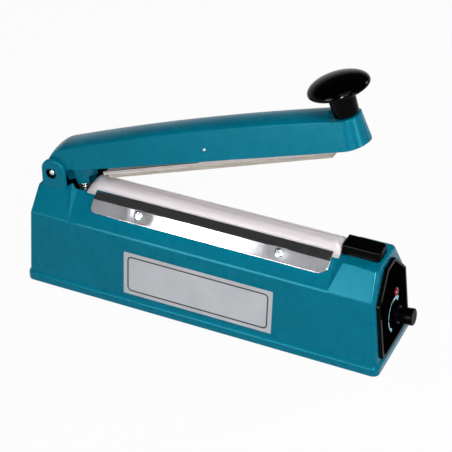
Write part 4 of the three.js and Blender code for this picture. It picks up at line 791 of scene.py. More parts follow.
def casing_body(edge, ear_edge):
    """The casing: skirt, walls, two blocks, ears and webs, hollowed from below."""
    skirt = slab([(REAR_END, -SKIRT_HALF), (FRONT_END, -SKIRT_HALF), (FRONT_END, SKIRT_HALF),
                  (REAR_END, SKIRT_HALF)], SKIRT_CORNER, 0, SKIRT_HEIGHT)
    soften(skirt, lambda a, b: level(SKIRT_HEIGHT, a, b), SKIRT_CHAMFER, 1)
    soften(skirt, lambda a, b: level(SKIRT_HEIGHT - SKIRT_CHAMFER, a, b), 0.8)
    soften(skirt, lambda a, b: level(0, a, b), 0.5, 2)

    ear_top_x = REAR_END + EAR_BLOCK_TOP
    ear_foot_x = REAR_END + EAR_BLOCK_FOOT
    block_foot_x = front_x(CREASE_HEIGHT) - BLOCK_FOOT
    block_top_x = front_x(BLOCK_HEIGHT) - BLOCK_TOP
    ramp_x = block_top_x - BLOCK_RAMP
    walls = (SKIRT_HEIGHT - WALL_SUNK, CREASE_HEIGHT)
    long_body = hull(casing_walls(rear_x, front_x, walls) + [
        (x, side * y, z)
        for x in (ear_top_x, block_top_x) for side in (-1, 1)
        for y, z in ((SHOULDER_HALF, SHOULDER_HEIGHT), (RIDGE_HALF, RIDGE_HEIGHT))])
    block = hull(casing_walls(block_foot_x, front_x, walls) + [
        (x, side * BLOCK_HALF, BLOCK_HEIGHT)
        for x in (block_top_x, front_x(BLOCK_HEIGHT)) for side in (-1, 1)
    ] + [(ramp_x, side * SHOULDER_HALF, SHOULDER_HEIGHT) for side in (-1, 1)])
    ear_block = hull(casing_walls(rear_x, ear_foot_x, walls) + [
        (x, side * EAR_HALF, EAR_BLOCK_HEIGHT)
        for x in (rear_x(EAR_BLOCK_HEIGHT), ear_top_x) for side in (-1, 1)])
    for body in (long_body, block):
        soften(body, lambda a, b: upright(front_x, a, b), FRONT_CORNER, 6)
    for body in (long_body, ear_block):
        soften(body, lambda a, b: upright(rear_x, a, b), REAR_CORNER, 4)
    for body in (long_body, block, ear_block):
        soften(body, lambda a, b: level(CREASE_HEIGHT, a, b), edge, 3)
    soften(block, lambda a, b: level(BLOCK_HEIGHT, a, b), edge, 3)
    soften(ear_block, lambda a, b: level(EAR_BLOCK_HEIGHT, a, b), edge * 0.8, 3)
    soften(block, lambda a, b: a.y * b.y > 0 and abs(a.z - b.z) > 12
           and max(a.x, b.x) < block_top_x + 2.5 and min(a.z, b.z) > CREASE_HEIGHT - 2, 0.5, 2)

    parts = [tightened(body) for body in (long_body, block, ear_block)]
    radius = EAR_WIDTH / 2
    centre_x = HINGE_X - EAR_REAR + radius
    slope_lift = CREASE_HEIGHT + (CREASE_HALF - LIP_HALF) * math.tan(SLOPE)
    for side in (-1, 1):
        ear = bmesh.new()
        bmesh.ops.create_circle(ear, cap_ends=False, segments=72, radius=radius)
        bmesh.ops.rotate(ear, cent=(0, 0, 0), matrix=Matrix.Rotation(math.pi / 2, 3, "X"),
                         verts=ear.verts)
        moved(ear, centre_x, 0, EAR_TOP - radius)
        outline = [vert.co.copy() for vert in ear.verts]
        ear.free()
        outline += [Vector((centre_x + way * radius, 0, CREASE_HEIGHT)) for way in (-1, 1)]
        ear = hull([(p.x, side * y, p.z) for p in outline for y in (EAR_INNER, EAR_HALF)])
        for face, edge_radius, steps in ((EAR_HALF, ear_edge, 4), (EAR_INNER, 0.4, 2)):
            soften(ear, lambda a, b: abs(abs(a.y) - face) < 0.01 and abs(a.y - b.y) < 0.01
                   and max(a.z, b.z) > WELL_FLOOR, edge_radius, steps)
        parts.append(ear)
        peak_x = ear_top_x + WEB_REACH
        web = hull([
            (ear_foot_x, side * CREASE_HALF, CREASE_HEIGHT),
            (ear_top_x, side * EAR_HALF, EAR_BLOCK_HEIGHT),
            (peak_x, side * EAR_INNER, WEB_PEAK),
            (peak_x, side * (EAR_INNER - WEB_THICK / 2), WEB_PEAK - WEB_THICK),
            (LIP_START + WEB_THICK, side * LIP_HALF, slope_lift),
            (LIP_START + WEB_THICK, side * LIP_HALF, CREASE_HEIGHT),
            (ear_top_x - WEB_THICK, side * EAR_INNER, EAR_BLOCK_HEIGHT + WEB_THICK),
            (ear_top_x - WEB_THICK, side * EAR_INNER, CREASE_HEIGHT),
            (ear_foot_x, side * LIP_HALF, CREASE_HEIGHT)])
        soften(web, lambda a, b: max(a.z, b.z) > EAR_BLOCK_HEIGHT - 1
               and min(abs(a.y), abs(b.y)) > EAR_INNER - 1.2, 0.6, 2, True)
        parts.append(tightened(web))
    outer = combined(skirt, parts, "UNION")

    room = prism(mirrored([(CREASE_HALF - 3, WELL_FLOOR - 8),
                           (CREASE_HALF - 3.4, CREASE_HEIGHT - 1),
                           (SHOULDER_HALF - 1, SHOULDER_HEIGHT - ROOF),
                           (RIDGE_HALF - 0.5, RIDGE_HEIGHT - ROOF)]),
                 WELL_END + WALL, front_x(RIDGE_HEIGHT) - 2 * WALL)
    lower = hull([(x, side * (side_y(z) - WALL), z) for z in (-5, CREASE_HEIGHT - 1.2)
                  for x in (rear_x(z) + WALL, front_x(z) - WALL) for side in (-1, 1)])
    well_lift = WELL_FLOOR + (WELL_FLOOR_HALF - EAR_INNER) * math.tan(SLOPE)
    well = prism(mirrored([(WELL_FLOOR_HALF, WELL_FLOOR), (EAR_INNER, well_lift),
                           (EAR_INNER, EAR_TOP + 5)]),
                 rear_x(EAR_BLOCK_HEIGHT) + WALL, WELL_END)
    shell = combined(outer, [room, lower, well], "DIFFERENCE")
    lips = [prism([(side * LIP_HALF, CREASE_HEIGHT), (side * CREASE_HALF, CREASE_HEIGHT),
                   (side * LIP_HALF, slope_lift)], LIP_START, LIP_END) for side in (-1, 1)]
    shell = combined(shell, lips, "UNION")
    bores = [pin_bore()] + [side_bore(COUNTERBORE, side, EAR_HALF - COUNTERBORE_DEPTH, 64)
                            for side in (-1, 1)]
    return combined(shell, [moved(bore, HINGE_X, 0, HINGE_Z) for bore in bores], "DIFFERENCE")


# Arm
def arm_fall(x):
    """How far the arm's top lies below its crown."""
    oval_x = ARM_REAR_ROUND - BOSS_RADIUS
    if x >= oval_x:
        return (x - ARM_CROWN_X) ** 2 / ARM_FALL
    start = (oval_x - ARM_CROWN_X) ** 2 / ARM_FALL
    share = min((oval_x - x) / ARM_REAR_ROUND, 1)
    return start + (ARM_CROWN - start + ARM_REAR_DROP) * (1 - math.sqrt(1 - share * share))


KNOB_SEAT = ARM_CROWN - arm_fall(KNOB_REACH) - KNOB_SEAT_DROP


def arm_loft(inset, start, steps=20):
    """The arm's solid form, from its rear end to its round nose."""
    half, corner, nose_steps = 14, 10, 24

    def section(x, share, turn):
        """One ring: x along the arm, the share of its width, and the turn round the nose."""
        ring = []
        for i in range(-1, half + 2):
            angle = min(max(i, 0), half) / half * math.pi
            fall = arm_fall(x)
            if i in (-1, half + 1):
                y, z = math.copysign(ARM_HALF - inset, math.cos(angle)), ARM_EDGE
            else:
                wide = ARM_TOP_HALF - inset + ARM_TAPER * fall
                y = wide * math.cos(angle)
                z = ARM_SIDE_TOP - inset - fall + ARM_TOP_RISE * math.sin(angle)
                z = max(z, ARM_EDGE + 0.2)
            lean = NOSE_SLOPE * (z - ARM_EDGE)
            outer = ARM_HALF - inset - ARM_TAPER * (z - ARM_EDGE)
            nose = ARM_REACH - inset - lean - outer
            if turn is None:
                ring.append((x, y * share, z))
            else:
                ring.append((nose + abs(y) * math.sin(turn), y * math.cos(turn), z))
        return ring

    rings = []
    if start < 0:
        for i in range(corner):
            turn = i / corner * math.pi / 2
            wide = 1 - (1 - math.sin(turn)) * ARM_REAR_CORNER / ARM_HALF
            rings.append(section(start + ARM_REAR_CORNER * (1 - math.cos(turn)), wide, None))
        start += ARM_REAR_CORNER
        oval = ARM_REAR_ROUND - BOSS_RADIUS
        rings += [section(start + (oval - start) * i / corner, 1, None) for i in range(corner)]
        start = oval
    tip = ARM_REACH - ARM_HALF
    run = tip - 2 - start
    rings += [section(start + run * i / steps, 1, None) for i in range(steps + 1)]
    rings += [section(tip, 1, math.pi / 2 * i / nose_steps) for i in range(nose_steps + 1)]
    return lofted(rings)


def arm_body():
    """The arm: an inverted channel, with its neck, boss, lug, cheeks and knob seat."""
    outer = arm_loft(0, ARM_REAR)
    rim = [edge for edge in outer.edges if level(ARM_EDGE, *(vert.co for vert in edge.verts))]
    rounded(outer, [edge for edge in rim if len(edge.link_faces) == 2
                    and edge.calc_face_angle(0) > 0.9], 0.35, 2)
    closed(outer)
    necks = [moved(side_bore(NECK_RADIUS, side, NECK_HALF, 96), 0, 0, NECK_RISE)
             for side in (-1, 1)]
    room = closed(arm_loft(WALL, BULKHEAD))
    for vert in room.verts:
        if vert.co.z < ARM_EDGE + 0.05:
            vert.co.z = ARM_EDGE - 6
    arm = combined(outer, [*necks, room], "DIFFERENCE")
    boss = across(rod(BOSS_RADIUS, -NECK_HALF, NECK_HALF, 64))
    rounded(boss, corners_of(boss, 60), 0.6, 3)
    lug = box((LUG_START, -LUG_NEAR, -LUG_DROP), (LUG_END, CHEEK_HALF, LUG_TOP))
    cheeks = [box((CHEEK_START, low, -CHEEK_DROP), (CHEEK_END, high, LUG_TOP))
              for low, high in ((-CHEEK_HALF, -CHEEK_INNER), (CHEEK_INNER, CHEEK_HALF))]
    for block in (lug, *cheeks):
        rounded(block, block.edges[:], 0.4, 2)
    fill = box((CHEEK_START, -CHEEK_HALF, -LUG_DROP), (LUG_END, SEAT - LUG_NEAR, LUG_TOP))
    radius, depth = KNOB_POST
    post = moved(rod(radius, KNOB_SEAT - depth, KNOB_SEAT - 1), KNOB_REACH, 0, 0)
    arm = combined(arm, [boss, lug, *cheeks, fill, post], "UNION")
    seat = moved(rod(KNOB_SEAT_RADIUS, KNOB_SEAT, ARM_CROWN + 5, 96), KNOB_REACH, 0, 0)
    bar_pin = across(rod(BAR_PIN_HOLE, -THROUGH, THROUGH, 24), BAR_PIN)
    arm = combined(arm, [seat, pin_bore(), bar_pin], "DIFFERENCE")
    rim = [edge for edge in corners_of(arm, 40)
           if level(KNOB_SEAT, *(vert.co for vert in edge.verts))
           and all(math.hypot(vert.co.x - KNOB_REACH, vert.co.y) > 11 for vert in edge.verts)
           and max(face.normal.z for face in edge.link_faces) > 0.9
           and edge.is_convex]
    rounded(arm, rim, 0.7, 3)
    bmesh.ops.remove_doubles(arm, verts=arm.verts, dist=0.02)
    bmesh.ops.dissolve_degenerate(arm, edges=arm.edges, dist=0.005)
    return arm


def knob_profile(steps=24):
    """Radius and height of the knob, from its seat up over its cap."""
    centre = SEAT + KNOB_STEM_RISE + 0.5 + KNOB_UNDER * 0.9
    points = [(0, SEAT), (9.2, SEAT), (10, SEAT + 0.7), (KNOB_STEM, SEAT + KNOB_STEM_RISE)]
    start = -math.acos(KNOB_STEM / KNOB_RADIUS) * 0.9
    for i in range(1, steps + 1):
        angle = start + (math.pi / 2 - start) * i / steps
        height = KNOB_UNDER if angle < 0 else KNOB_OVER
        points.append((KNOB_RADIUS * max(math.cos(angle), 0), centre + height * math.sin(angle)))
    return points


class SEALER_OT_casing(bpy.types.Operator):
    """Build the moulded casing with its skirt, blocks, ears and well"""

    bl_idname = "sealer.casing"
    bl_label = "Casing"

    def execute(self, context):
        sizes = context.scene.sealer_sizes
        body = casing_body(sizes.casing_edge / MM, sizes.ear_edge / MM)
        piece("casing", body, BASE, "casing", "base", ["base_casing"])
        return {"FINISHED"}


class SEALER_OT_arm(bpy.types.Operator):
    """Build the arm shell"""

    bl_idname = "sealer.arm"
    bl_label = "Arm"

    def execute(self, context):
        piece("arm", arm_body(), ARM, "casing", "arm", ["arm_shell"], 40)
        return {"FINISHED"}


class SEALER_OT_knob(bpy.types.Operator):
    """Build the handle knob"""

    bl_idname = "sealer.knob"
    bl_label = "Handle Knob"

    def execute(self, context):
        place = ARM @ Matrix.Translation((KNOB_REACH, 0, KNOB_SEAT))
        piece("knob", turned(knob_profile(), 96), place, "knob", "arm", ["handle_knob"],
              40, False)
        return {"FINISHED"}


class SEALER_OT_press_bar(bpy.types.Operator):
    """Build the rocking press bar, its silicone strip and its pin"""

    bl_idname = "sealer.press_bar"
    bl_label = "Press Bar"

    def execute(self, context):
        inner = BAR_HALF - BAR_SHEET
        low, side = BAR_SHEET - BAR_FLOOR, BAR_SIDE - BAR_FLOOR
        bar = prism([(-BAR_HALF, -BAR_FLOOR), (BAR_HALF, -BAR_FLOOR), (BAR_HALF, side),
                     (inner, side), (inner, low), (-inner, low), (-inner, side),
                     (-BAR_HALF, side)], -BAR_LENGTH / 2, BAR_LENGTH / 2)
        soften(bar, lambda a, b: level(-BAR_FLOOR, a, b) and abs(a.x - b.x) > 50, 0.9, 4)
        lugs = [hull([(x * width, way * y, z) for x in (-1, 1) for y in (inner, BAR_HALF)
                      for width, z in ((BAR_LUG, side - 1), (BAR_LUG_TOP, BAR_RISE))])
                for way in (-1, 1)]
        bar = combined(bar, lugs, "UNION")
        rounded(bar, corners_of(bar, 60), 0.15, 2)
        piece("press_channel", bar, BAR, "channel", "press_foot", ["press_bar"])
        half = BAR_LENGTH / 2 - STRIP_SHORT
        top = -BAR_FLOOR - SEAT
        strip = box((-half, -STRIP_HALF, top - STRIP_THICK), (half, STRIP_HALF, top))
        soften(strip, lambda a, b: level(top - STRIP_THICK, a, b), 1.1, 4)
        piece("press_strip", strip, BAR, "silicone", "press_foot", ["silicone_strip"])
        reach = ARM_HALF - ARM_TAPER * (BAR_PIN[2] - ARM_EDGE) - 0.35
        half = [(0, reach), (BAR_PIN_RADIUS - 0.4, reach), (BAR_PIN_RADIUS, reach - 0.4)]
        pin = across(turned([(r, -z) for r, z in half] + half[::-1], 32), BAR_PIN)
        piece("bar_pin", pin, ARM, "plated", "arm", ["press_bar_pin"])
        return {"FINISHED"}


class SEALER_OT_pin(bpy.types.Operator):
    """Build the hinge pin with its domed ends, and a black ring in each counterbore round it"""

    bl_idname = "sealer.pin"
    bl_label = "Hinge Pin"

    def execute(self, context):
        reach = EAR_HALF - COUNTERBORE_DEPTH / 2
        half = [(0, reach), (1.2, reach - 0.06), (2.0, reach - 0.25),
                (PIN_RADIUS, reach - 0.6), (PIN_RADIUS, reach - 1.4)]
        pin = turned([(r, -z) for r, z in half] + half[::-1], 48)
        piece("pin", across(pin, (HINGE_X, 0, HINGE_Z)), BASE, "steel", "base", ["hinge_pin"])
        depth = EAR_HALF - COUNTERBORE_DEPTH
        inner, outer = PIN_RADIUS + 0.12, COUNTERBORE - 0.08
        rim, floor = BLACK_RING_FLANGE
        # A black ring fills each counterbore round the pin, where the counterbore shows black
        for name, side in (("near", -1), ("far", 1)):
            ring = turned([(inner, 0.02), (outer, 0.02), (outer, rim), (outer - 0.5, rim),
                           (outer - 0.7, floor), (inner, floor), (inner, 0.02)], 64)
            if side < 0:
                bmesh.ops.rotate(ring, cent=(0, 0, 0), matrix=Matrix.Rotation(math.pi, 3, "X"),
                                 verts=ring.verts)
            piece(f"pin_black_ring_{name}", across(ring, (HINGE_X, side * depth, HINGE_Z)), BASE,
                  "black", "base")
        return {"FINISHED"}


def coil(radius, wire, height, turns, steps=24, sides=10):
    """A coil of round wire that stands on the origin, in one unbroken tube."""
    rise = height - 2 * wire
    rings = []
    for i in range(turns * steps + 1):
        share = i / (turns * steps)
        angle = share * turns * 2 * math.pi
        out = Vector((math.cos(angle), math.sin(angle), 0))
        way = Vector((-math.sin(angle), math.cos(angle), rise / (turns * 2 * math.pi * radius)))
        up = way.normalized().cross(out)
        centre = out * radius + Vector((0, 0, wire + rise * share))
        rings.append([centre + (out * math.cos(turn) + up * math.sin(turn)) * wire
                      for turn in (k / sides * 2 * math.pi for k in range(sides))])
    return closed(lofted(rings))


class SEALER_OT_spring(bpy.types.Operator):
    """Build the return spring, which shortens under the arm's lug"""

    bl_idname = "sealer.spring"
    bl_label = "Return Spring"

    def execute(self, context):
        low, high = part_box("return_spring")
        foot = Vector(((low.x + high.x) / 2, (low.y + high.y) / 2, low.z))
        height = high.z - low.z
        body = coil(SPRING_RADIUS, SPRING_WIRE, height / MM, SPRING_TURNS)
        spring = piece("return_coil", body, Matrix.Translation(foot) @ Matrix.Scale(MM, 4),
                       "steel", "base", ["return_spring"], 60, False)
        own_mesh(spring)
        return {"FINISHED"}


def slope_points(gap):
    """A plate's bend over the shoulder at a gap, the ways down and up from it, its normals."""
    line = [Vector((CREASE_HALF, CREASE_HEIGHT)), Vector((SHOULDER_HALF, SHOULDER_HEIGHT))]
    climb = (line[1] - line[0]).normalized()
    lap = Vector((-math.cos(LAP_SLOPE), math.sin(LAP_SLOPE)))
    normals = [Vector((-way.y, way.x)) for way in (climb, lap)]
    normals = [n if n.y > 0 else -n for n in normals]
    mid = (normals[0] + normals[1]).normalized()
    bend = line[1] + mid * gap / mid.dot(normals[0])
    return bend, -climb, lap, normals


def clamp_plate(side, bend_radius):
    """A clamp plate bent from sheet, with two rounded lower corners."""
    sections = []
    for distance in (PLATE_GAP, PLATE_GAP + PLATE_SHEET):
        bend, down, up, _ = slope_points(distance)
        sections.append([bend + down * PLATE_LEG, bend, bend + up * PLATE_LAP])
    outline = sections[0] + sections[1][::-1]
    plate = prism([(side * p.x, p.y) for p in outline], PLATE_REAR, PLATE_FRONT)
    bends = [abs(sections[i][1].x) for i in (0, 1)]
    soften(plate, lambda a, b: abs(a.x - b.x) > 50
           and min(abs(abs(a.y) - y) for y in bends) < 0.02, bend_radius, 5)
    low = [section[0].y for section in sections]
    for end, radius in ((-1, PLATE_CORNER), (1, PLATE_FRONT_CORNER)):
        soften(plate, lambda a, b: abs(a.x - b.x) < 0.01 and abs(a.y - b.y) < PLATE_SHEET + 0.2
               and max(a.z, b.z) < max(low) + 0.05 and a.y != b.y and a.x * end > 0
               and abs((a - b).length - PLATE_SHEET) < 0.05, radius, 8)
    rounded(plate, corners_of(plate, 50), PLATE_BURR, 2)

    bend, down, _, normals = slope_points(PLATE_GAP + PLATE_SHEET)
    screws = [PLATE_MIDDLE - SCREW_PITCH / 2, PLATE_MIDDLE + SCREW_PITCH / 2]
    along = Vector((0, side * down.x, down.y))
    out = Vector((0, side * normals[0].x, normals[0].y))
    start = Vector((0, side * bend.x, bend.y))
    cuts = [(Vector((x + DENT_STEPS[0] * i, 0, 0)), Vector((1, 0, 0))) for x in screws
            for i in range(-9, 10)]
    cuts += [(start + along * (DENT_STEPS[1] * i), along) for i in range(1, 8)]
    for place, way in cuts:
        bmesh.ops.bisect_plane(plate, geom=plate.verts[:] + plate.edges[:] + plate.faces[:],
                               dist=1e-4, plane_co=place, plane_no=way)
    for vert in plate.verts:
        reach = (vert.co - start).dot(along)
        for x in screws:
            away = (vert.co.x - x) ** 2 + (reach - SCREW_RISE) ** 2
            dent = PLATE_DENT * math.exp(-away / DENT_RADIUS ** 2)
            vert.co -= out * dent * min(max(reach, 0) / 3, 1)
    return plate


def cross_screw():
    """A screw with a pan head and a cross recess."""
    radius, height = SCREW_HEAD, SCREW_HEIGHT
    head = turned([(0, -SCREW_TAIL), (SCREW_SHANK, -SCREW_TAIL), (SCREW_SHANK, 0), (radius, 0),
                   (radius, height * 0.3), (radius * 0.94, height * 0.62),
                   (radius * 0.72, height * 0.88), (radius * 0.4, height), (0, height)], 48)
    arms = [box((-x, -y, height - 1), (x, y, height + 1))
            for x, y in (SCREW_CROSS, SCREW_CROSS[::-1])]
    return combined(head, arms, "DIFFERENCE")


def plate_screw_place(side, end):
    """Frame of a plate screw: z out of the leg."""
    bend, down, _, normals = slope_points(PLATE_GAP + PLATE_SHEET)
    centre = bend + down * SCREW_RISE
    out = Vector((0, side * normals[0].x, normals[0].y))
    along = Vector((1, 0, 0))
    turn = Matrix((along, out.cross(along), out)).transposed().to_4x4()
    place = Matrix.Translation((PLATE_MIDDLE + end * SCREW_PITCH / 2, side * centre.x, centre.y))
    return BASE @ place @ turn


class SEALER_OT_plates(bpy.types.Operator):
    """Build both clamp plates and the near plate's screws"""

    bl_idname = "sealer.plates"
    bl_label = "Clamp Plates"

    def execute(self, context):
        bend = context.scene.sealer_sizes.plate_bend / MM
        for name, side in (("near", -1), ("far", 1)):
            piece(f"plate_{name}", clamp_plate(side, bend), BASE, "sheet", "base",
                  [f"clamp_plate_{name}"])
        for number, end in ((1, -1), (2, 1)):
            seated = Matrix.Translation((0, 0, SEAT - PLATE_DENT))
            place = plate_screw_place(-1, end) @ seated @ Matrix.Rotation(0.5 + number, 4, "Z")
            piece(f"plate_screw_{number}", cross_screw(), place, "steel", "base",
                  [f"clamp_screw_near_{number}"])
        return {"FINISHED"}


def cloth_ring(x):
    """Section of the cloth at a place along the bar, from one flap to the other."""
    share = min(max((x - (SEAL_REAR - CLOTH_GAP)) / (SEAL_SLANT + CLOTH_GAP), 0), 1)
    rear = max(1 - (1 - share) ** 2.4, 0.02)
    drop = max((x - (SEAL_FRONT - SEAL_FRONT_SLANT)) / SEAL_FRONT_SLANT, 0) * SEAL_FRONT_DROP
    crest = SEAL_FOOT + (SEAL_HEIGHT + CLOTH_GAP) * rear - drop
    foot_half = CLOTH_FOOT + CLOTH_GAP
    low = SEAL_FOOT - 0.1
    half = [(CLOTH_FLAP, RIDGE_HEIGHT - 0.7), (11.4, RIDGE_HEIGHT - 0.35),
            (10, RIDGE_HEIGHT + 0.45), (foot_half + 0.2, low + 0.5)]
    crest_half = CLOTH_CREST + (foot_half - 3.9) * (1 - rear) ** 2
    rise = crest - low
    for share in (0.14, 0.3, 0.46, 0.62, 0.76, 0.88):
        y = foot_half + 0.3 + (crest_half + 0.5 - foot_half) * share ** 1.35
        half.append((y, low + rise * share * 0.98))
    half += [(crest_half + 0.8, crest - 0.9 * rear), (crest_half + 0.1, crest - 0.42 * rear),
             (crest_half * 0.5, crest - 0.1 * rear)]
    points = []
    for side, line in ((-1, half), (1, half[::-1])):
        for y, z in line:
            ripple = noise.noise(Vector((x * 0.012, side * y * 0.33, z * 0.25))) * 0.14
            points.append((side * y, z - abs(ripple) * rear))
    points.insert(len(half), (0, crest))
    return points


class SEALER_OT_cloth(bpy.types.Operator):
    """Build the non-stick cloth that is clamped over the sealing bar"""

    bl_idname = "sealer.cloth"
    bl_label = "Press Cloth"

    def execute(self, context):
        body = bmesh.new()
        slant = SEAL_FRONT - SEAL_FRONT_SLANT
        stations = [SEAL_REAR - CLOTH_START + 0.95 * i for i in range(11)]
        stations += [stations[-1] + (slant - stations[-1]) * i / 64 for i in range(1, 65)]
        stations += [slant + i for i in range(1, SEAL_FRONT_SLANT + 1)]
        verts = [body.verts.new((stations[0], y, z)) for y, z in cloth_ring(stations[0])]
        edges = [body.edges.new(pair) for pair in zip(verts, verts[1:])]
        for x in stations[1:]:
            ring = [(x, y, z) for y, z in cloth_ring(x)]
            verts, edges = drawn_out(body, verts, edges, ring)
        bmesh.ops.recalc_face_normals(body, faces=body.faces)
        if sum(face.normal.z for face in body.faces) < 0:
            bmesh.ops.reverse_faces(body, faces=body.faces)
        area = sum(face.calc_area() for face in body.faces)
        cloth = piece("cloth", body, BASE, "cloth", "base", ["press_cloth"], 180, False)
        wall = cloth.modifiers.new("wall", "SOLIDIFY")
        wall.thickness = CLOTH_THICK * MM
        wall.offset = -1
        return {"FINISHED"}


class SEALER_OT_cover(bpy.types.Operator):
    """Build the cap over the front terminal"""

    bl_idname = "sealer.cover"
    bl_label = "Terminal Cover"

    def execute(self, context):
        low = BLOCK_HEIGHT + SEAT
        end = COVER_REAR + COVER_LENGTH
        cover = hull([(x, side * half, low + z) for x in (COVER_REAR, end) for side in (-1, 1)
                      for half, z in ((COVER_HALF, 0), (COVER_TOP_HALF, COVER_HEIGHT))])
        soften(cover, lambda a, b: abs(a.x - end) < 0.01 and abs(b.x - end) < 0.01
               and abs(a.z - b.z) > 3, COVER_CORNER, 8)
        soften(cover, lambda a, b: level(low + COVER_HEIGHT, a, b) and max(a.x, b.x)
               > COVER_REAR + 1, COVER_EDGE, 5)
        soften(cover, lambda a, b: abs(a.x - COVER_REAR) < 0.3 and abs(b.x - COVER_REAR) < 0.3
               and max(a.z, b.z) > low + 1, 0.35, 2)
        rear, front, half = COVER_ROOM
        inner = box((COVER_REAR + rear, -half, low - 5),
                    (end - front, half, low + COVER_HEIGHT - rear))
        slot = box((COVER_REAR - 5, -3, low - 5), (COVER_REAR + 1.8, 3, low + 4.6))
        cover = combined(cover, [inner, slot], "DIFFERENCE")
        piece("cover", cover, BASE, "black", "base", ["terminal_cover"])
        return {"FINISHED"}


class SEALER_OT_shade_block(bpy.types.Operator):
    """Build the black block beside the rear end of the sealing bar: painted shade, standing where
    the well lies in shadow
    """

    bl_idname = "sealer.guard"
    bl_label = "Rear Shade Block"

    def execute(self, context):
        low = SHOULDER_HEIGHT + SEAT
        guard = hull([(x, y, low + z) for y in SHADE_BLOCK_SIDES for x, z in
                      ((SHADE_BLOCK_REAR, 0.4), (SHADE_BLOCK_FRONT, 0.4), (SHADE_BLOCK_FRONT, SHADE_BLOCK_HEIGHT - 2.5),
                       (SHADE_BLOCK_FRONT - 1.6, SHADE_BLOCK_HEIGHT), (SHADE_BLOCK_REAR + 2, SHADE_BLOCK_HEIGHT),
                       (SHADE_BLOCK_REAR, SHADE_BLOCK_HEIGHT - 3))])
        rounded(guard, corners_of(guard, 60), 0.4, 3)
        # Painted shade: this black block stands where the well behind the arm's cheek lies in
        # shadow
        piece("rear_shade_block", guard, BASE, "black", "base")
        return {"FINISHED"}


def panel_corners(inset):
    """Corners of the panel's outline."""
    half = PANEL_HALF - inset
    top = PANEL_TOP_HALF - inset / 2
    return [(-half, PANEL_FOOT + inset), (half, PANEL_FOOT + inset), (half, PANEL_SIDE),
            (top, PANEL_TOP - inset), (-top, PANEL_TOP - inset), (-half, PANEL_SIDE)]


def panel_plate(inset, low, high):
    """A plate with the panel's outline: large corners below, small ones above."""
    body = slab(panel_corners(inset), 0, low, high)
    soften(body, lambda a, b: abs(a.z - b.z) > 0.1 and a.y < 10, PANEL_CORNER * 0.9, 8)
    soften(body, lambda a, b: abs(a.z - b.z) > 0.1 and a.y > 40
           and abs((a.xy - b.xy).length) < 0.01, 1.6, 4)
    return body


class SEALER_OT_panel(bpy.types.Operator):
    """Build the control panel: bezel, scale arc, lamp and dial knob"""

    bl_idname = "sealer.panel"
    bl_label = "Control Panel"

    def execute(self, context):
        top = SEAT + PANEL_THICK
        bezel = panel_plate(0, SEAT, top)
        soften(bezel, lambda a, b: level(top, a, b), 0.5, 3)
        recess = panel_plate(PANEL_RIM, top - PANEL_RECESS, top + 3)
        holes = [moved(rod(LAMP_RADIUS + 0.2, -5, 8), *LAMP_PLACE, 0),
                 moved(rod(BUSH_HOLE, -5, 8), 0, DIAL_RISE, 0)]
        bezel = combined(bezel, [recess, *holes], "DIFFERENCE")
        piece("bezel", bezel, PANEL, "black", "base", ["front_bezel"])

        for number, (radius, width, first, last) in enumerate(DIAL_ARCS):
            body = bmesh.new()
            rim = [body.verts.new((radius + way * width / 2, 0, 0)) for way in (-1, 1)]
            edge = body.edges.new(rim)
            for vert in rim:
                vert.co = Matrix.Rotation(math.radians(first), 3, "Z") @ vert.co
            bmesh.ops.spin(body, geom=rim + [edge], cent=(0, 0, 0), axis=(0, 0, 1),
                           angle=math.radians(last - first), steps=40)
            lift(body, (0, 0, INK))
            closed(body)
            place = PANEL @ Matrix.Translation((0, DIAL_RISE, SCALE_TOP + 0.02 + number * 0.004))
            piece(f"dial_arc_{number + 1}", body, place, "ink", "base")

        dome = context.scene.sealer_sizes.lamp_height / MM
        flange = SCALE_TOP + SEAT
        profile = [(0, -LAMP_TAIL), (LAMP_RADIUS, -LAMP_TAIL), (LAMP_RADIUS, flange),
                   (LAMP_FLANGE, flange), (LAMP_FLANGE, flange + 0.3),
                   (LAMP_FLANGE - 0.3, flange + 0.5), (LAMP_RADIUS + 0.1, flange + 0.5)]
        profile += [(LAMP_RADIUS * math.cos(a), flange + 0.5 + (dome - 0.55) * math.sin(a))
                    for a in (i / 10 * math.pi / 2 for i in range(11))]
        lamp = turned(profile, 48)
        place = PANEL @ Matrix.Translation((*LAMP_PLACE, 0))
        piece("lamp", lamp, place, "lens", "base", ["pilot_lamp"])

        foot = SCALE_TOP + 0.5
        tip = foot + DIAL_LENGTH
        radius = DIAL_RADIUS
        dial = turned([(0, foot), (radius - 0.4, foot), (radius, foot + 0.5),
                       (radius, foot + 3.2), (radius - 0.5, foot + 3.8),
                       (radius - 1.4, foot + 4.2), (radius - 1.4, foot + 6.6),
                       (radius - 0.5, foot + 8.2), (radius - 0.3, tip - 1.1),
                       (radius - 0.5, tip - 0.4), (radius - 1.1, tip), (0, tip)], 72)
        place = PANEL @ Matrix.Translation((0, DIAL_RISE, 0))
        piece("dial", dial, place, "dial", "timer_dial", ["timer_knob"])
        return {"FINISHED"}


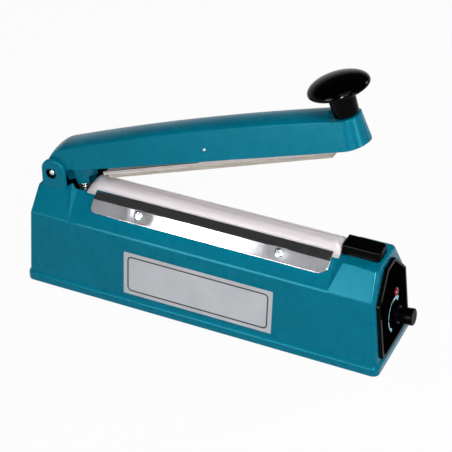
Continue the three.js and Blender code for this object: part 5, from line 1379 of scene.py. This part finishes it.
class SEALER_OT_label(bpy.types.Operator):
    """Build the printed border of the bare label"""

    bl_idname = "sealer.label"
    bl_label = "Label Border"

    def execute(self, context):
        half, rise = LABEL_LENGTH / 2 - BORDER_INSET[0], LABEL_WIDTH / 2 - BORDER_INSET[1]
        body = bmesh.new()
        body.faces.new([body.verts.new((x, y, 0)) for x, y in
                        ((-half, -rise), (half, -rise), (half, rise), (-half, rise))])
        rounded(body, body.verts[:], BORDER_CORNER, 8, "VERTICES")
        inner = body.faces[:]
        bmesh.ops.inset_region(body, faces=inner, thickness=BORDER_WIDTH,
                               use_boundary=True, use_even_offset=True)
        bmesh.ops.delete(body, geom=inner, context="FACES")
        lift(body, (0, 0, LABEL_INK))
        closed(body)
        lean = Matrix.Rotation(math.pi / 2 - math.atan(SIDE_DRAFT), 4, "X")
        place = Matrix.Translation((0, -side_y(LABEL_Z), LABEL_Z))
        out = Matrix.Translation((0, 0, SEAT + LABEL_SHEET + 0.02))
        piece("label_border", body, BASE @ place @ lean @ out, "border", "base",
              sharp=60, even=False)
        return {"FINISHED"}


class SEALER_OT_finishes(bpy.types.Operator):
    """Make the finishes, and give every piece of the frame that still shows its own"""

    bl_idname = "sealer.finishes"
    bl_label = "Finishes"

    def execute(self, context):
        make_finishes(context.scene.sealer_colours)
        for name, node in frame["nodes"].items():
            finish = FINISHES[NODE_FINISHES[name]]
            node.data.materials.clear()
            node.data.materials.append(finish)
        return {"FINISHED"}


LAMP_TARGET = (0, 0, 0.1)
LAMPS = (  # name, place, size, power, and whether it lights matt surfaces too
    ("lamp_top", (0.3, -0.5, 1.3), (0.8, 0.5), 4.2, True),
    ("lamp_front", (0.72, -1.0, 1.05), (0.6, 0.5), 11.4, True),
    ("lamp_rear", (0.75, 0.95, 0.7), (0.28, 0.28), 3.0, True),
    ("card_key", (1.35, -0.36, 0.3), (0.32, 0.3), 6.2, False),
    ("card_corner", (0.52, -0.94, 0.57), (0.14, 0.3), 34.0, False),
    ("card_start", (-0.572, -0.712, 0.85), (0.08, 0.16), 0.017, False),
    ("card_plate", (-0.4, -0.712, 0.85), (0.125, 0.16), 0.36, False),
    ("card_end", (-0.25, -0.712, 0.85), (0.15, 0.16), 0.038, False),
    ("card_low", (-0.3, -1.0, 0.31), (0.42, 0.56), 17.0, False),
)


def set_camera(scene):
    """Places the camera from which the photograph's view is seen."""
    back = Vector((math.sin(AZIMUTH) * math.cos(ELEVATION),
                   -math.cos(AZIMUTH) * math.cos(ELEVATION), math.sin(ELEVATION)))
    lens = bpy.data.cameras.new("camera")
    lens.sensor_width = SENSOR
    lens.lens = FOCAL_PIXELS / FRAME_PIXELS * SENSOR
    lens.clip_start, lens.clip_end = 0.05, 20
    camera = bpy.data.objects.new("camera", lens)
    scene.collection.objects.link(camera)
    turn = (-back).to_track_quat("-Z", "Y").to_matrix().to_4x4()
    camera.matrix_world = (Matrix.Translation((Vector(TARGET) + back * DISTANCE) * MM) @ turn
                           @ Matrix.Rotation(ROLL, 4, "Z"))
    scene.camera = camera


def set_lamps(scene):
    """Hangs the lamps, and the cards that only glossy surfaces mirror."""
    for name, place, size, power, lights in LAMPS:
        light = bpy.data.lights.new(name, "AREA")
        light.shape = "RECTANGLE"
        light.size, light.size_y = size
        light.energy = power
        lamp = bpy.data.objects.new(name, light)
        scene.collection.objects.link(lamp)
        lamp.visible_diffuse = lights
        aim = Vector(LAMP_TARGET) - Vector(place)
        lamp.matrix_world = (Matrix.Translation(place)
                             @ aim.to_track_quat("-Z", "Y").to_matrix().to_4x4())


def set_world(scene):
    """A plain pale room, white to the camera and darker overhead in what gloss mirrors."""
    world = bpy.data.worlds.new("room")
    scene.world = world
    world.use_nodes = True
    tree = world.node_tree
    tree.nodes.clear()
    path = add(tree, "ShaderNodeLightPath")
    seen = add(tree, "ShaderNodeMath", {"operation": "MAXIMUM"},
               _0=path.outputs["Is Camera Ray"], _1=path.outputs["Is Transmission Ray"])
    way = add(tree, "ShaderNodeTexCoord").outputs["Generated"]
    rise = add(tree, "ShaderNodeSeparateXYZ", Vector=way)
    backdrop = add(tree, "ShaderNodeMapRange", Value=rise.outputs["Z"], From_Min=0.02,
                   From_Max=0.3, To_Min=1.0, To_Max=0.05)
    soft = add(tree, "ShaderNodeBackground", Color=(0.97, 0.99, 1, 1), Strength=0.2)
    white = add(tree, "ShaderNodeBackground", Color=(1, 1, 1, 1), Strength=1.0)
    glossy = add(tree, "ShaderNodeBackground", Color=(1, 1, 1, 1),
                 Strength=backdrop.outputs["Result"])
    mirror = add(tree, "ShaderNodeMixShader", _0=path.outputs["Is Glossy Ray"],
                 _1=soft.outputs[0], _2=glossy.outputs[0])
    mixed = add(tree, "ShaderNodeMixShader", _0=seen.outputs["Value"],
                _1=mirror.outputs[0], _2=white.outputs[0])
    add(tree, "ShaderNodeOutputWorld", Surface=mixed.outputs[0])


def set_floor(scene):
    """A white paper floor that keeps the object's shadow."""
    made, tree = blank("matt_paper_white")
    path = add(tree, "ShaderNodeLightPath")
    paper = add(tree, "ShaderNodeBsdfDiffuse", Color=linear("F2F2F2"))
    bright = add(tree, "ShaderNodeEmission", Color=(1, 1, 1, 1), Strength=1.0)
    seen = add(tree, "ShaderNodeMath", {"operation": "MAXIMUM"},
               _0=path.outputs["Is Camera Ray"], _1=path.outputs["Is Glossy Ray"])
    share = add(tree, "ShaderNodeMath", {"operation": "MULTIPLY"},
                _0=seen.outputs["Value"], _1=0.94)
    mixed = add(tree, "ShaderNodeMixShader", _0=share.outputs["Value"], _1=paper.outputs[0],
                _2=bright.outputs[0])
    add(tree, "ShaderNodeOutputMaterial", Surface=mixed.outputs[0])
    floor = bmesh.new()
    bmesh.ops.create_grid(floor, x_segments=1, y_segments=1, size=3)
    mesh = bpy.data.meshes.new("floor")
    floor.to_mesh(mesh)
    floor.free()
    mesh.materials.append(made)
    ground = bpy.data.objects.new("floor", mesh)
    scene.collection.objects.link(ground)


class SEALER_OT_stage(bpy.types.Operator):
    """Set up the camera, the lamps, the world and the floor"""

    bl_idname = "sealer.stage"
    bl_label = "Stage"

    def execute(self, context):
        scene = context.scene
        scene.view_settings.view_transform = "Standard"
        set_camera(scene)
        set_lamps(scene)
        set_world(scene)
        set_floor(scene)
        return {"FINISHED"}


STEPS = ("finishes", "casing", "arm", "knob", "press_bar", "pin", "spring", "plates", "cloth",
         "guard", "cover", "panel", "label", "stage")


class SEALER_PT_sidebar(bpy.types.Panel):
    """Lists the sizes, the colours and the steps"""

    bl_idname = "SEALER_PT_sidebar"
    bl_label = "Hand Impulse Sealer"
    bl_space_type = "VIEW_3D"
    bl_region_type = "UI"
    bl_category = "Sealer"

    def draw(self, context):
        column = self.layout.column()
        for owner in (context.scene.sealer_sizes, context.scene.sealer_colours):
            for name in owner.__annotations__:
                column.prop(owner, name)
        for step in STEPS:
            column.operator(f"sealer.{step}")


CLASSES = (
    SealerColours, SealerSizes, SEALER_OT_finishes, SEALER_OT_casing, SEALER_OT_arm,
    SEALER_OT_knob, SEALER_OT_press_bar, SEALER_OT_pin, SEALER_OT_spring, SEALER_OT_plates,
    SEALER_OT_cloth, SEALER_OT_shade_block, SEALER_OT_cover, SEALER_OT_panel, SEALER_OT_label,
    SEALER_OT_stage, SEALER_PT_sidebar,
)


def register():
    """Registers the classes and their settings."""
    for item in CLASSES:
        bpy.utils.register_class(item)
    bpy.types.Scene.sealer_sizes = PointerProperty(type=SealerSizes)
    bpy.types.Scene.sealer_colours = PointerProperty(type=SealerColours)


def unregister():
    """Takes the classes and their settings away."""
    del bpy.types.Scene.sealer_colours
    del bpy.types.Scene.sealer_sizes
    for item in reversed(CLASSES):
        bpy.utils.unregister_class(item)


def main():
    register()
    for step in STEPS:
        getattr(bpy.ops.sealer, step)()


if __name__ == "__main__":
    main()
